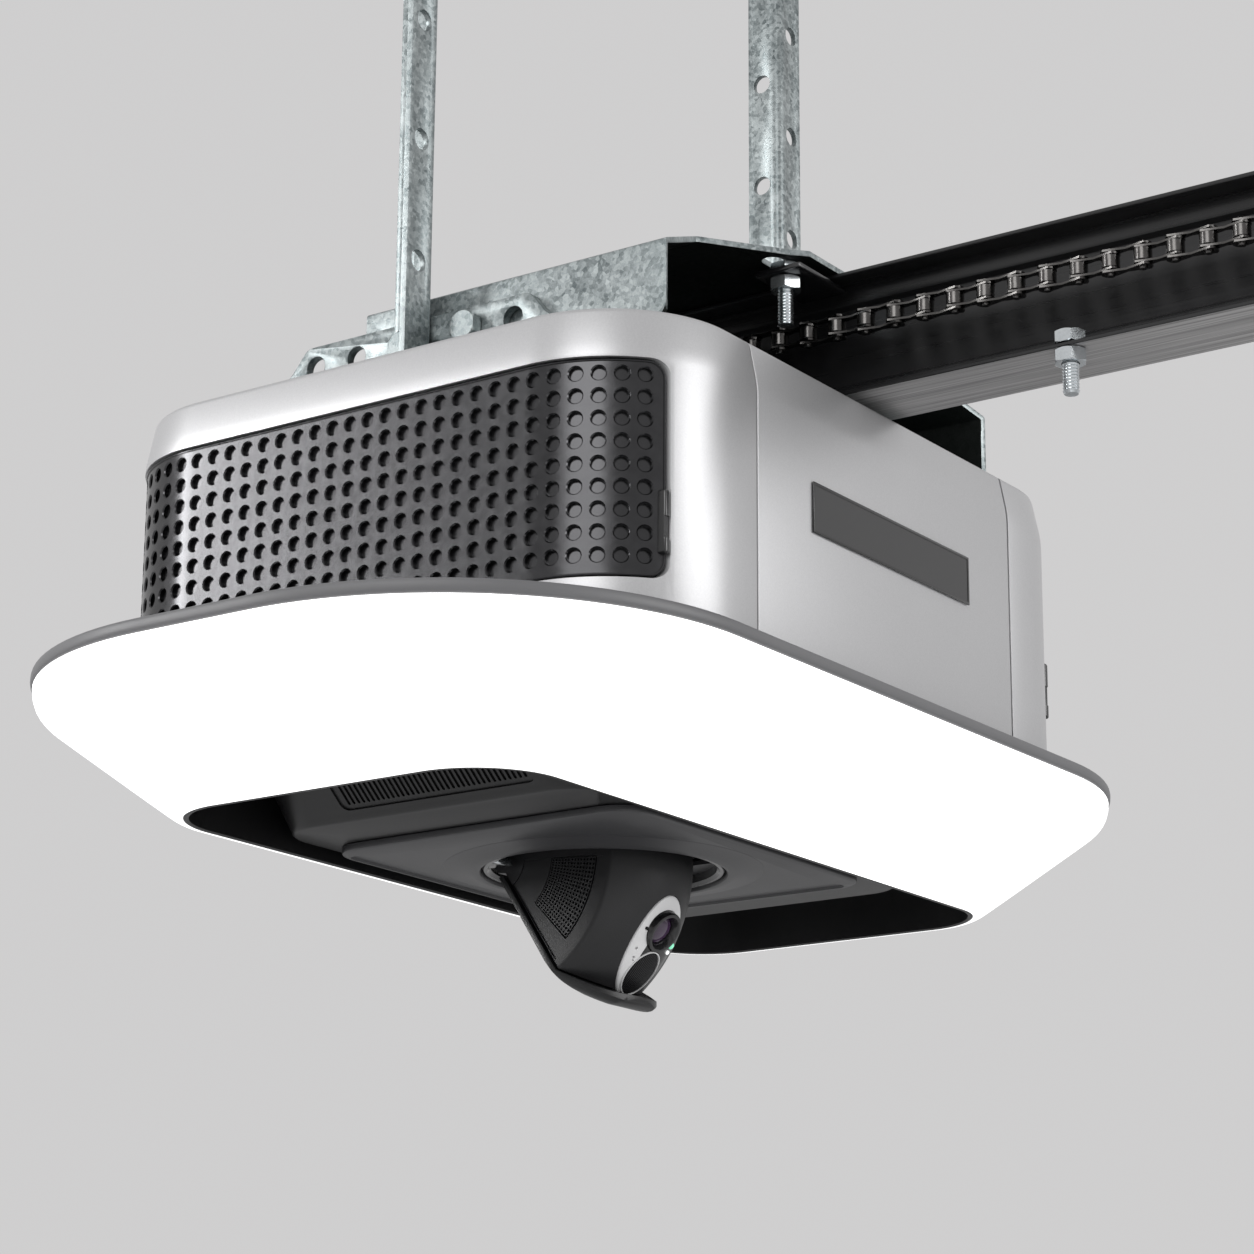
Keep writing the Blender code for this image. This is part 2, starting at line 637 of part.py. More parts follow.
def make_pod_face():
    """Camera face plate, lens, lens ring and motion window, set square to one line out of the pod."""
    aim = Vector((0, -math.cos(FACE_AIM), -math.sin(FACE_AIM)))
    rise = Vector((0, -math.sin(FACE_AIM), math.cos(FACE_AIM)))
    across = Vector((1, 0, 0))
    hinge = (0, HINGE_BACK, HINGE_Z)
    middle = Vector(hinge) + aim * FACE_REACH + rise * FACE_RISE

    def disc(name, half_w, half_l, along, start, end, finish, sides=28):
        rings = []
        for depth in (start, end):
            ring = []
            for u, v in circle(1, sides):
                ring.append(middle + across * (u * half_w) + rise * (along + v * half_l) + aim * depth)
            rings.append(ring)
        return loft(name, rings, finish, origin=hinge)

    half_w = FACE_PLATE_WIDTH / 2
    half_l = FACE_PLATE_LENGTH / 2
    top = 4.6 * MM
    base = top - FACE_PLATE_SHEET
    plate = disc("face_plate", half_w, half_l, 0, base, top, WHITE)
    pocket = disc("face_pocket", half_w + GAP, half_l + GAP, 0, base - GAP, 0.03, DARK)
    cut(bpy.data.objects["pod_shell"], pocket)
    lens_at = 6.4 * MM
    window_at = -11.4 * MM
    lens_bore = LENS_RADIUS + GAP
    cut(plate, disc("lens_bore", lens_bore, lens_bore, lens_at, 0, 0.02, WHITE, 20))
    rim = disc("lens_ring", LENS_RADIUS, LENS_RADIUS, lens_at, base, top + 1.4 * MM, BLACK, 20)
    inner = LENS_RADIUS - 2.4 * MM
    cut(rim, disc("lens_ring_bore", inner, inner, lens_at, 0, 0.02, BLACK, 20))
    glass = inner - GAP
    disc("camera_lens", glass, glass, lens_at, base, top + 0.6 * MM, GLASS, 20)
    wide = MOTION_WINDOW_RADIUS
    tall = wide * MOTION_WINDOW_STRETCH
    cut(plate, disc("window_bore", wide + GAP, tall + GAP, window_at, 0, 0.02, WHITE, 20))
    disc("motion_window", wide, tall, window_at, base, top + 0.5 * MM, DARK, 20)


def make_pod_speaker():
    """Mesh sector let into the left cheek of the pod, round the hinge."""
    hinge = (0, HINGE_BACK, HINGE_Z)
    centre = (HINGE_BACK, HINGE_Z)
    face = -POD_WIDTH / 2
    start = math.radians(180 + 4)
    end = math.radians(180 + 46)
    outer = arc(SPEAKER_OUTER, start, end, 8, centre)
    inner = arc(SPEAKER_INNER, end, start, 6, centre)
    deep = face + SPEAKER_SHEET
    prism("speaker_mesh", outer + inner, 0, face, deep, DARK, origin=hinge)
    outer = arc(SPEAKER_OUTER + GAP, start - 0.01, end + 0.01, 8, centre)
    inner = arc(SPEAKER_INNER - GAP, end + 0.01, start - 0.01, 6, centre)
    pocket = prism("speaker_pocket", outer + inner, 0, face - 5 * MM, deep + GAP, DARK, origin=hinge)
    cut(bpy.data.objects["pod_shell"], pocket)


def make_rail():
    half = RAIL_WIDTH / 2
    web = RAIL_WEB / 2
    fold = RAIL_FOLD_WIDTH / 2
    low = RAIL_LIFT
    high = RAIL_TOP
    right = [
        (half, low),
        (half, low + RAIL_SHEET),
        (fold, low + RAIL_SHEET),
        (fold, low + RAIL_FOLD_HEIGHT),
        (web, low + RAIL_FOLD_HEIGHT + 2 * MM),
        (web, high - RAIL_FOLD_HEIGHT - 2 * MM),
        (fold, high - RAIL_FOLD_HEIGHT),
        (fold, high - RAIL_SHEET),
        (half, high - RAIL_SHEET),
        (half, high),
    ]
    left = [(-x, z) for x, z in reversed(right)]
    rail = prism("rail", right + left, 1, -RAIL_FRONT, RAIL_REAR, RAIL_BLACK)
    cut(rail, rod("rail_bolt_bore", 2, -0.01, 0.02, RAIL_BOLT, BOLT_RADIUS + BOLT_CLEARANCE, RAIL_BLACK, 12))

    saddle_low = GAP
    saddle_high = RAIL_LIFT - GAP
    box("rail_saddle", (-30 * MM, -118 * MM, saddle_low), (30 * MM, RAIL_REAR, saddle_high), ZINC)


def make_chain():
    """The chain's run up one side, round the sprocket and back, as one band."""
    half = CHAIN_WIDTH / 2
    centre = (0, SHAFT_Y)
    outer = arc(CHAIN_OFFSET + half, 0, math.pi, 16, centre)
    inner = arc(CHAIN_OFFSET - half, math.pi, 0, 16, centre)
    points = [(CHAIN_OFFSET + half, -RAIL_FRONT)] + outer + [(-CHAIN_OFFSET - half, -RAIL_FRONT)]
    points += [(-CHAIN_OFFSET + half, -RAIL_FRONT)] + inner + [(CHAIN_OFFSET - half, -RAIL_FRONT)]
    low = CHAIN_Z - CHAIN_HEIGHT / 2
    prism("drive_chain", points, 2, low, low + CHAIN_HEIGHT, CHAIN_STEEL)


def gear_outline(radius, teeth, depth, centre):
    points = []
    for tooth in range(teeth):
        base = 2 * math.pi * tooth / teeth
        for part, reach in ((0.0, 0), (0.3, 0), (0.42, depth), (0.88, depth)):
            angle = base + part * 2 * math.pi / teeth
            span = radius - reach
            points.append((centre[0] + span * math.cos(angle), centre[1] + span * math.sin(angle)))
    return points


def make_drive():
    axis = (0, SHAFT_Y)
    origin = (0, SHAFT_Y, GEAR_Z)
    shaft_low = GEAR_Z - GEAR_HEIGHT
    shaft_high = CHAIN_Z + SPROCKET_HEIGHT / 2 + 3 * MM
    rod("drive_shaft", 2, shaft_low, shaft_high, axis, SHAFT_RADIUS, STEEL, 16, origin)
    low = CHAIN_Z - SPROCKET_HEIGHT / 2
    sprocket = prism(
        "drive_sprocket",
        gear_outline(SPROCKET_RADIUS, 8, 2 * MM, axis),
        2,
        low,
        low + SPROCKET_HEIGHT,
        STEEL,
        origin,
    )
    bore = SHAFT_RADIUS + GAP
    cut(sprocket, rod("sprocket_bore", 2, low - 0.01, low + 0.02, axis, bore, STEEL, 16))
    low = GEAR_Z - GEAR_HEIGHT / 2
    outline_points = gear_outline(GEAR_RADIUS, GEAR_TEETH, 2.2 * MM, axis)
    gear = prism("worm_gear", outline_points, 2, low, low + GEAR_HEIGHT, NYLON, origin)
    cut(gear, rod("gear_bore", 2, low - 0.01, low + 0.02, axis, bore, NYLON, 16))

    tube = 9 * MM
    bearing_low = GAP
    bearing = rod("shaft_bearing", 2, bearing_low, 20 * MM, axis, tube, ZINC, 24)
    cut(bearing, rod("bearing_bore", 2, -0.01, 0.03, axis, bore, ZINC, 16))

    worm_half = WORM_LENGTH / 2
    worm_origin = (0, WORM_Y, GEAR_Z)
    motor_start = GEAR_RADIUS + CASE_MARGIN + 2 * MM
    motor_end = motor_start + MOTOR_LENGTH
    line = (WORM_Y, GEAR_Z)
    rotor = rod("motor_rotor", 0, -worm_half, worm_half, line, WORM_RADIUS, STEEL, 16, worm_origin)
    axle = rod("motor_axle", 0, worm_half - 2 * MM, motor_end + 8 * MM, line, 3 * MM, STEEL, 12, worm_origin)
    axle_gap = 3 * MM + GAP
    can = rod("motor_can", 0, motor_start, motor_end, (WORM_Y, GEAR_Z), MOTOR_RADIUS, ZINC, 28)
    hollow = (motor_start + 4 * MM, motor_end - 4 * MM)
    cut(can, rod("motor_hollow", 0, *hollow, (WORM_Y, GEAR_Z), MOTOR_RADIUS - MOTOR_WALL, ZINC, 28))
    cut(can, rod("motor_bore", 0, 0, 0.3, (WORM_Y, GEAR_Z), axle_gap, ZINC, 12))
    core = (hollow[0] + 6 * MM, hollow[1] - 6 * MM)
    armature = rod("armature", 0, *core, line, MOTOR_RADIUS * 0.62, CHAIN_STEEL, 20, worm_origin)
    weld(rotor, axle, armature)


def make_gearcase():
    """An open-topped tub round the gear, hung under the chassis plate, with a passage for the worm."""
    half = GEAR_RADIUS + CASE_MARGIN
    wall = 3 * MM
    top = -CHASSIS_SHEET - GAP
    bottom = GEAR_Z - GEAR_HEIGHT - 6 * MM
    rear = WORM_Y + WORM_RADIUS + 6 * MM
    front = SHAFT_Y - half
    tub = box("gear_case", (-half, front, bottom), (half, rear, top), CHAIN_STEEL)
    low = (-half + wall, front + wall, bottom + wall)
    cut(tub, box("case_hollow", low, (half - wall, rear - wall, top + 0.01), CHAIN_STEEL))
    cut(tub, rod("worm_passage", 0, 0, 0.1, (WORM_Y, GEAR_Z), 4.4 * MM, CHAIN_STEEL, 16))


def make_electrics():
    inner_y = HALF_Y - COVER_WALL
    box("logic_board", (-120 * MM, 104 * MM, -94 * MM), (-12 * MM, 105.6 * MM, -16 * MM), BOARD)
    box("power_supply", (-140 * MM, -104 * MM, -84 * MM), (-78 * MM, -24 * MM, -24 * MM), ZINC, 1.5 * MM)
    box("backup_battery", (74 * MM, -108 * MM, -92 * MM), (144 * MM, -38 * MM, -22 * MM), DARK, 2 * MM)
    rear = bpy.data.objects["rear_panel"]
    for index, name in enumerate(("up_button", "down_button", "learn_button")):
        x = BUTTON_X + index * BUTTON_PITCH
        start = HALF_Y + BUTTON_PROUD - BUTTON_DEPTH
        centre = (x, -BUTTON_DROP)
        origin = (x, HALF_Y, -BUTTON_DROP)
        rod(name, 1, start, HALF_Y + BUTTON_PROUD, centre, BUTTON_RADIUS, DARK, 16, origin)
        bore = BUTTON_RADIUS + FIT_CLEARANCE
        cut(rear, rod(f"{name}_bore", 1, inner_y - 0.01, HALF_Y + 0.01, centre, bore, SILVER, 16))

    half = INLET_WIDTH / 2
    low = (INLET_X - half, inner_y - 14 * MM, -INLET_DROP - INLET_HEIGHT / 2)
    high = (INLET_X + half, HALF_Y + 1.5 * MM, -INLET_DROP + INLET_HEIGHT / 2)
    inlet = box("power_inlet", low, high, BLACK)
    wall = 2 * MM
    well_low = (low[0] + wall, inner_y - 9 * MM, low[2] + wall)
    well_high = (high[0] - wall, HALF_Y + 0.01, high[2] - wall)
    cut(inlet, box("inlet_well", well_low, well_high, BLACK))
    grow = Vector((FIT_CLEARANCE, 0.02, FIT_CLEARANCE))
    cut(rear, box("inlet_window", Vector(low) - grow, Vector(high) + grow, SILVER))


def make_hat():
    """Bracket over the rail: a flat crown, a wing sloping down each side, and an upright flange."""
    half = HAT_WIDTH / 2
    crown = HAT_CROWN_WIDTH / 2
    shoulder = HAT_TOP - HAT_SHOULDER_DROP
    sheet = HAT_SHEET
    right = [(crown, HAT_TOP), (half, shoulder), (half, HAT_FLANGE_LOW), (half - sheet, HAT_FLANGE_LOW)]
    right += [(half - sheet, shoulder - 0.45 * sheet), (crown - 0.25 * sheet, HAT_TOP - sheet)]
    left = [(-x, z) for x, z in reversed(right)]
    hat = prism("hat_bracket", right + left, 1, HAT_NOSE_Y, HAT_REAR_Y, ZINC)
    far = half + 10 * MM
    nose = HAT_NOSE_WIDTH / 2
    for side in (-1, 1):
        shear = [(side * far, HAT_NOSE_Y - 0.02), (side * far, HAT_FLANGE_Y), (side * half, HAT_FLANGE_Y)]
        shear += [(side * crown, HAT_NECK_Y), (side * nose, HAT_NOSE_Y), (side * nose, HAT_NOSE_Y - 0.02)]
        cut(hat, prism(f"hat_shear_{side}", shear, 2, -0.01, HAT_TOP + 0.01, ZINC))
        r = HAT_CORNER
        corner = [(HAT_FLANGE_Y - r, HAT_FLANGE_LOW - r), (HAT_FLANGE_Y + r, HAT_FLANGE_LOW - r)]
        corner += [(HAT_FLANGE_Y + r, HAT_FLANGE_LOW)]
        corner += arc(r, -math.pi / 2, -math.pi, 6, (HAT_FLANGE_Y + r, HAT_FLANGE_LOW + r))[1:]
        corner += [(HAT_FLANGE_Y - r, HAT_FLANGE_LOW + r)]
        ends = sorted((side * (half - 0.01), side * far))
        cut(hat, prism(f"hat_corner_{side}", corner, 0, *ends, ZINC))
        for label, spot in (("bar", BAR_BOLT), ("strap", STRAP_BOLT)):
            cut(hat, rod(f"hat_{label}_hole_{side}", 0, *ends, spot, BOLT_RADIUS + BOLT_CLEARANCE, ZINC, 12))


def make_bars():
    """Perforated angle bars, welded to the chassis by their feet, that join the hat bracket and the straps."""
    inner = HAT_WIDTH / 2 + GAP
    outer = inner + BAR_SHEET
    low = GAP
    high = BAR_HEIGHT
    for name, side in (("left_hanger_bar", -1), ("right_hanger_bar", 1)):
        points = [(BAR_FRONT, low), (BAR_FRONT, high - BAR_SLOPE), (BAR_FRONT + BAR_SLOPE * 0.7, high)]
        points += [(BAR_REAR - BAR_SLOPE * 0.7, high), (BAR_REAR, high - BAR_SLOPE), (BAR_REAR, low)]
        bar = prism(name, points, 0, *sorted((side * inner, side * outer)), ZINC)
        foot = sorted((side * (outer - BAR_FOOT), side * outer))
        weld(bar, box(f"{name}_foot", (foot[0], BAR_FRONT, low), (foot[1], BAR_REAR, low + BAR_SHEET), ZINC))
        reach = sorted((side * (inner - 0.01), side * (outer + 0.01)))
        for index, y in enumerate(BAR_HOLES):
            cut(bar, rod(f"{name}_hole_{index}", 0, *reach, (y, BAR_HOLE_LIFT), BAR_HOLE_RADIUS, ZINC, 14))
        for label, spot in (("hat", BAR_BOLT), ("strap", STRAP_BOLT)):
            cut(bar, rod(f"{name}_{label}_bore", 0, *reach, spot, BOLT_RADIUS + BOLT_CLEARANCE, ZINC, 12))


def make_straps():
    """Perforated angle irons from the bars up to the ceiling, with one leg turned out at the front."""
    for name, side in (("left_strap", -1), ("right_strap", 1)):
        face = side * (HAT_WIDTH / 2 + BAR_SHEET + 2 * GAP)
        out = face + side * STRAP_SHEET
        tip = face + side * STRAP_LEG
        front = STRAP_FRONT
        inside = front + STRAP_SHEET
        rear = front + STRAP_LEG
        points = [(face, front), (face, rear), (out, rear), (out, inside), (tip, inside), (tip, front)]
        strap = prism(name, points, 2, STRAP_FOOT, STRAP_TOP, ZINC)
        reach = sorted((face - side * 0.005, out + side * 0.002))
        cut(strap, rod(f"{name}_bore", 0, *reach, STRAP_BOLT, BOLT_RADIUS + BOLT_CLEARANCE, ZINC, 12))
        for index in range(STRAP_HOLE_COUNT):
            z = STRAP_SIDE_HOLE_LIFT + index * STRAP_HOLE_PITCH
            spot = ((inside + rear) / 2, z)
            cut(strap, rod(f"{name}_side_{index}", 0, *reach, spot, STRAP_HOLE_RADIUS, ZINC, 12))
            z = STRAP_FRONT_HOLE_LIFT + index * STRAP_HOLE_PITCH
            spot = ((out + tip) / 2, z)
            wide = (front - 0.005, inside + 0.002)
            cut(strap, rod(f"{name}_front_{index}", 1, *wide, spot, STRAP_HOLE_RADIUS, ZINC, 12))


def hex_points(centre, flats=BOLT_HEX):
    return circle(flats / math.sqrt(3), 6, centre, math.radians(30))


def hex_bolt(name, axis, head_at, tip_at, centre, tall=BOLT_HEAD, finish=STEEL):
    """Bolt with its head's inner face at head_at. The shank runs to tip_at and the head the other way."""
    away = math.copysign(1, head_at - tip_at)
    head = prism(name, hex_points(centre), axis, *sorted((head_at, head_at + away * tall)), finish)
    span = sorted((head_at + away * tall / 2, tip_at))
    shank = rod(f"{name}_shank", axis, *span, centre, BOLT_RADIUS, finish, 12)
    return weld(head, shank)


def hex_nut(name, axis, start, centre, finish=STEEL):
    nut = prism(name, hex_points(centre), axis, start, start + NUT_HEIGHT, finish)
    bore = rod(f"{name}_bore", axis, start - 0.01, start + 0.02, centre, BOLT_RADIUS + GAP, finish, 12)
    return cut(nut, bore)


def make_clamps():
    """Slotted jaw, bolt and nut on each side, which grip the rail's top flange against the hat bracket."""
    for label, side in (("left", -1), ("right", 1)):
        spot = (side * CLAMP_X, CLAMP_Y)
        jaw_top = RAIL_TOP - RAIL_SHEET - GAP - 1.2 * MM
        jaw_low = jaw_top - JAW_SHEET
        inner = RAIL_FOLD_WIDTH / 2 + 4 * MM
        ends = sorted((side * inner, side * (CLAMP_X + JAW_WIDTH / 2)))
        front = CLAMP_Y - JAW_LENGTH / 2
        rear = CLAMP_Y + JAW_LENGTH / 2
        jaw = box(f"{label}_clamp_jaw", (ends[0], front, jaw_low), (ends[1], rear, jaw_top), RAIL_BLACK)
        r = BOLT_RADIUS + BOLT_CLEARANCE + 0.4 * MM
        run = JAW_SLOT / 2 - r
        slot = arc(r, 0, math.pi, 6, (spot[0], CLAMP_Y + run))
        slot += arc(r, math.pi, 2 * math.pi, 6, (spot[0], CLAMP_Y - run))
        cut(jaw, prism(f"{label}_jaw_slot", slot, 2, jaw_low - 0.01, jaw_top + 0.01, RAIL_BLACK))
        head_low = jaw_top + GAP
        hex_bolt(f"{label}_clamp_bolt", 2, head_low, CLAMP_BOLT_TIP, spot, HAT_TOP - HAT_SHEET - GAP - head_low)
        hex_nut(f"{label}_clamp_nut", 2, jaw_low - GAP - NUT_HEIGHT, spot)


def make_fasteners():
    bar_face = HAT_WIDTH / 2 + GAP + BAR_SHEET
    strap_face = bar_face + GAP + STRAP_SHEET
    inside = HAT_WIDTH / 2 - HAT_SHEET - GAP
    for label, side in (("left", -1), ("right", 1)):
        for piece, face, spot in (("bar", bar_face, BAR_BOLT), ("strap", strap_face, STRAP_BOLT)):
            tip = inside - NUT_HEIGHT - 3 * MM
            hex_bolt(f"{label}_{piece}_bolt", 0, side * (face + GAP), side * tip, spot)
            start = min(side * inside, side * (inside - NUT_HEIGHT))
            hex_nut(f"{label}_{piece}_nut", 0, start, spot)
    hex_bolt("rail_bolt", 2, RAIL_LIFT + RAIL_SHEET + GAP, RAIL_LIFT - 17 * MM, RAIL_BOLT)
    hex_nut("rail_nut", 2, RAIL_LIFT - GAP - NUT_HEIGHT, RAIL_BOLT)


def make_badge():
    """Blank name plate on the front panel."""
    low = (BADGE_X - BADGE_WIDTH / 2, -HALF_Y - GAP - BADGE_SHEET, -BADGE_DROP - BADGE_HEIGHT)
    high = (BADGE_X + BADGE_WIDTH / 2, -HALF_Y - GAP, -BADGE_DROP)
    box("front_badge", low, high, BLACK)


def make_latches():
    """Finger tab at the front edge of each grille."""
    for side in (-1, 1):
        grille = bpy.data.objects["left_grille" if side < 0 else "right_grille"]
        cover = bpy.data.objects["left_cover" if side < 0 else "right_cover"]
        x = side * (HALF_X - GRILLE_FRONT_REACH)
        angle = math.acos((BODY_CORNER - GRILLE_FRONT_REACH) / BODY_CORNER)
        y = -(HALF_Y - BODY_CORNER + BODY_CORNER * math.sin(angle))
        half = LATCH_WIDTH / 2
        low = (x - half, y - 1.2 * MM, -LATCH_DROP - LATCH_LENGTH)
        high = (x + half, y + 3.2 * MM, -LATCH_DROP)
        weld(grille, box(f"latch_{side}", low, high, BLACK))
        grow = Vector((GAP, GAP, GAP))
        cut(cover, box(f"latch_notch_{side}", Vector(low) - grow, Vector(high) + grow, BLACK))


# Places in plan or elevation that several pieces share.
RAIL_BOLT = (-12.4 * MM, -214 * MM)
CLAMP_X = 35 * MM
CLAMP_Y = -107 * MM
BAR_BOLT = (-23 * MM, 18.5 * MM)
STRAP_BOLT = (4 * MM, 15 * MM)


def main():
    clear_scene()
    make_covers()
    make_grilles()
    make_chassis()
    make_lamp()
    make_pan()
    make_turret()
    make_pod()
    make_pod_face()
    make_pod_speaker()
    make_rail()
    make_chain()
    make_drive()
    make_gearcase()
    make_electrics()
    make_hat()
    make_bars()
    make_straps()
    make_clamps()
    make_fasteners()
    make_badge()
    make_latches()


main()
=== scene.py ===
# %% [markdown]
# # A garage door opener, built piece by piece
# The opener hangs from two perforated straps. A silver housing holds the motor, a chain runs out along a
# black rail, and a wide lamp with a camera pod looks down from underneath. The CAD frame already holds every
# piece at its right place and size, so this lesson loads it first and never moves it. Each visible piece is
# then modelled again with the curves, edges and surface finish that the real one has.

# %% Load the fixed frame
import math

import bmesh
import bpy
from mathutils import Matrix, Vector


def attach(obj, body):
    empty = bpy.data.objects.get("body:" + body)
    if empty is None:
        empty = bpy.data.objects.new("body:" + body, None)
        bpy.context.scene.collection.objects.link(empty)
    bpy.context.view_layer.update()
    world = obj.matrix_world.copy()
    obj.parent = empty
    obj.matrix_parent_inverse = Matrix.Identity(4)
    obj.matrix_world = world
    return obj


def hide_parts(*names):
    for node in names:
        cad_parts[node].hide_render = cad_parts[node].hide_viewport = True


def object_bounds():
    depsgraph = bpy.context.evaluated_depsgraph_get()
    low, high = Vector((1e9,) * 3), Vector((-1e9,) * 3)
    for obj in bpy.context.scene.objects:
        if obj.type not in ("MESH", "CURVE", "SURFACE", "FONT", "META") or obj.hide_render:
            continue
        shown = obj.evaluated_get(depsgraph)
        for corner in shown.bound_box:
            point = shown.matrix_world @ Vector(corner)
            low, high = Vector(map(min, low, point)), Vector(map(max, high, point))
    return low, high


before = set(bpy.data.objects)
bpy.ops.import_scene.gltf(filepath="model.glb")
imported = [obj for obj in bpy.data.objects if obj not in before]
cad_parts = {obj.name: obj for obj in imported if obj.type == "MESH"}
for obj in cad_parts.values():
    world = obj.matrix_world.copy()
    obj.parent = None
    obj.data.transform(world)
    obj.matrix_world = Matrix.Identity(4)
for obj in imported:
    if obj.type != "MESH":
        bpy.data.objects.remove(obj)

cad_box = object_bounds()

# %% [markdown]
# ## Millimetres from the chassis plate
# A workshop drawing of this opener would measure from the middle of its steel top plate, in millimetres. The
# frame measures in metres from the top of the hanging straps, 280 mm higher. One small function turns drawing
# millimetres into frame metres, so that every size below can be read as on a drawing.

# %% Drawing units
MM = 0.001
STRAP_TOP = 280.0


def spot(x, y, z):
    """A point of the drawing, in millimetres, as a vector in the frame, in metres."""
    return Vector((x * MM, y * MM, (z - STRAP_TOP) * MM))


def on_axis(axis, along, u, v):
    """A point given by its distance along one axis and its two other coordinates in order."""
    values = [u, v]
    values.insert(axis, along)
    return spot(*values)


print("strap tops at", spot(0, 0, STRAP_TOP))

# %% [markdown]
# ## Selecting and picking
# Blender's operators act on whatever is selected, so each step first lets go of everything. The helpers here
# do that, make one piece active, and join or merge pieces. They are the hands of everything that follows.

# %% Selection helpers


def only(*pieces):
    """Select these pieces and nothing else, in object mode, and return the first."""
    active = bpy.context.view_layer.objects.active
    if active and active.mode != "OBJECT":
        bpy.ops.object.mode_set(mode="OBJECT")
    bpy.ops.object.select_all(action="DESELECT")
    for piece in pieces:
        piece.select_set(True)
    bpy.context.view_layer.objects.active = pieces[0] if pieces else None
    return pieces[0] if pieces else None


def joined(name, pieces):
    """Join separate meshes into one piece."""
    only(*pieces)
    if len(pieces) > 1:
        bpy.ops.object.join()
    piece = bpy.context.view_layer.objects.active
    piece.name = name
    return piece


def settled(piece):
    """Put a piece's place, turn and size into its mesh, so that its object sits at the origin."""
    only(piece)
    bpy.ops.object.transform_apply(location=True, rotation=True, scale=True)
    return piece


def turned_out(piece):
    """Turn every face of a piece outwards."""
    only(piece)
    bpy.ops.object.mode_set(mode="EDIT")
    bpy.ops.mesh.select_all(action="SELECT")
    bpy.ops.mesh.normals_make_consistent(inside=False)
    bpy.ops.object.mode_set(mode="OBJECT")
    return piece


def copied(piece, name):
    """A second piece with a mesh of its own."""
    twin = piece.copy()
    twin.data = piece.data.copy()
    twin.name = name
    bpy.context.scene.collection.objects.link(twin)
    return twin


# %% [markdown]
# ## Outlines
# Most pieces of the opener have the outline of a rounded rectangle, a circle or a row of points. These
# functions return such outlines as points in a fixed order, because a skin is laid over them point by point.

# %% Outline helpers
CORNER_STEPS = 20


def arc(radius, start, end, steps, centre=(0.0, 0.0)):
    """Points along an arc, in degrees from start to end."""
    angles = [math.radians(start + (end - start) * k / steps) for k in range(steps + 1)]
    return [(centre[0] + radius * math.cos(a), centre[1] + radius * math.sin(a)) for a in angles]


def rounded(half_x, half_y, radius, steps=CORNER_STEPS, centre=(0.0, 0.0)):
    """A rectangle with round corners, as pairs of millimetres."""
    points = []
    for quarter, (sx, sy) in enumerate(((1, 1), (-1, 1), (-1, -1), (1, -1))):
        middle = (centre[0] + sx * (half_x - radius), centre[1] + sy * (half_y - radius))
        points += arc(radius, 90 * quarter, 90 * quarter + 90, steps, middle)
    return points


def ring(pairs, z):
    """An outline laid flat at one height."""
    return [spot(x, y, z) for x, y in pairs]


def circle(radius, sides, centre=(0.0, 0.0), turn=0.0):
    """A full round of points, without the last one that would double the first."""
    return arc(radius, turn, turn + 360, sides, centre)[:-1]


def slot_outline(radius, left, right, y, steps):
    """A slot with two round ends, lying along the first coordinate."""
    return arc(radius, 90, 270, steps, (left, y)) + arc(radius, -90, 90, steps, (right, y))


def span(side, near, far):
    """A stretch on one side of the middle, its lower end first."""
    return sorted((side * near, side * far))


print("a circle of 6:", [(round(u, 2), round(v, 2)) for u, v in circle(1, 6)])

# %% [markdown]
# ## A skin over a row of outlines
# Sheet and moulded pieces are made as by hand: a circle is bent to the first outline, its rim is extruded,
# and the new rim is laid on the next outline, until the skin is whole. The ends are filled, or the last rim
# meets the first one where the wall closes on itself. Merging the doubles comes before the normals are
# turned out.

# %% Skin, prism, turned and box helpers


def extruded(rows):
    """Bend a circle to the first row and extrude its rim through the others, left in edit mode."""
    only()
    count = len(rows[0])
    bpy.ops.mesh.primitive_circle_add(vertices=count, radius=1, fill_type="NOTHING")
    piece = bpy.context.object
    for vertex, place in zip(piece.data.vertices, rows[0]):
        vertex.co = place
    bpy.ops.object.mode_set(mode="EDIT")
    bpy.ops.mesh.select_all(action="SELECT")
    for row in rows[1:]:
        bpy.ops.mesh.extrude_edges_indiv()
        shape = bmesh.from_edit_mesh(piece.data)
        shape.verts.ensure_lookup_table()
        for vertex, place in zip(shape.verts[-count:], row):
            vertex.co = place
        bmesh.update_edit_mesh(piece.data)
    return piece


def skin(name, rings, closed_loop=False):
    """Extrude a rim through a row of rings, in frame metres, and close the shape."""
    piece = extruded(list(rings) + ([rings[0]] if closed_loop else []))
    piece.name = name
    if not closed_loop:
        bpy.ops.mesh.edge_face_add()
        shape = bmesh.from_edit_mesh(piece.data)
        shape.verts.ensure_lookup_table()
        bpy.ops.mesh.select_all(action="DESELECT")
        for vertex in shape.verts[: len(rings[0])]:
            vertex.select = True
        shape.select_flush(True)
        bpy.ops.mesh.edge_face_add()
    bpy.ops.mesh.select_all(action="SELECT")
    bpy.ops.mesh.remove_doubles(threshold=1e-6)
    bpy.ops.mesh.normals_make_consistent(inside=False)
    return only(piece)


def prism(name, pairs, axis, start, end):
    """A flat outline extruded along an axis."""
    return skin(name, [[on_axis(axis, along, u, v) for u, v in pairs] for along in (start, end)])


def turned(name, axis, centre, profile, sides=32):
    """A lathe piece: circles of (radius, place along the axis) round a centre."""
    rings = [[on_axis(axis, along, u, v) for u, v in circle(r, sides, centre)] for r, along in profile]
    return skin(name, rings)


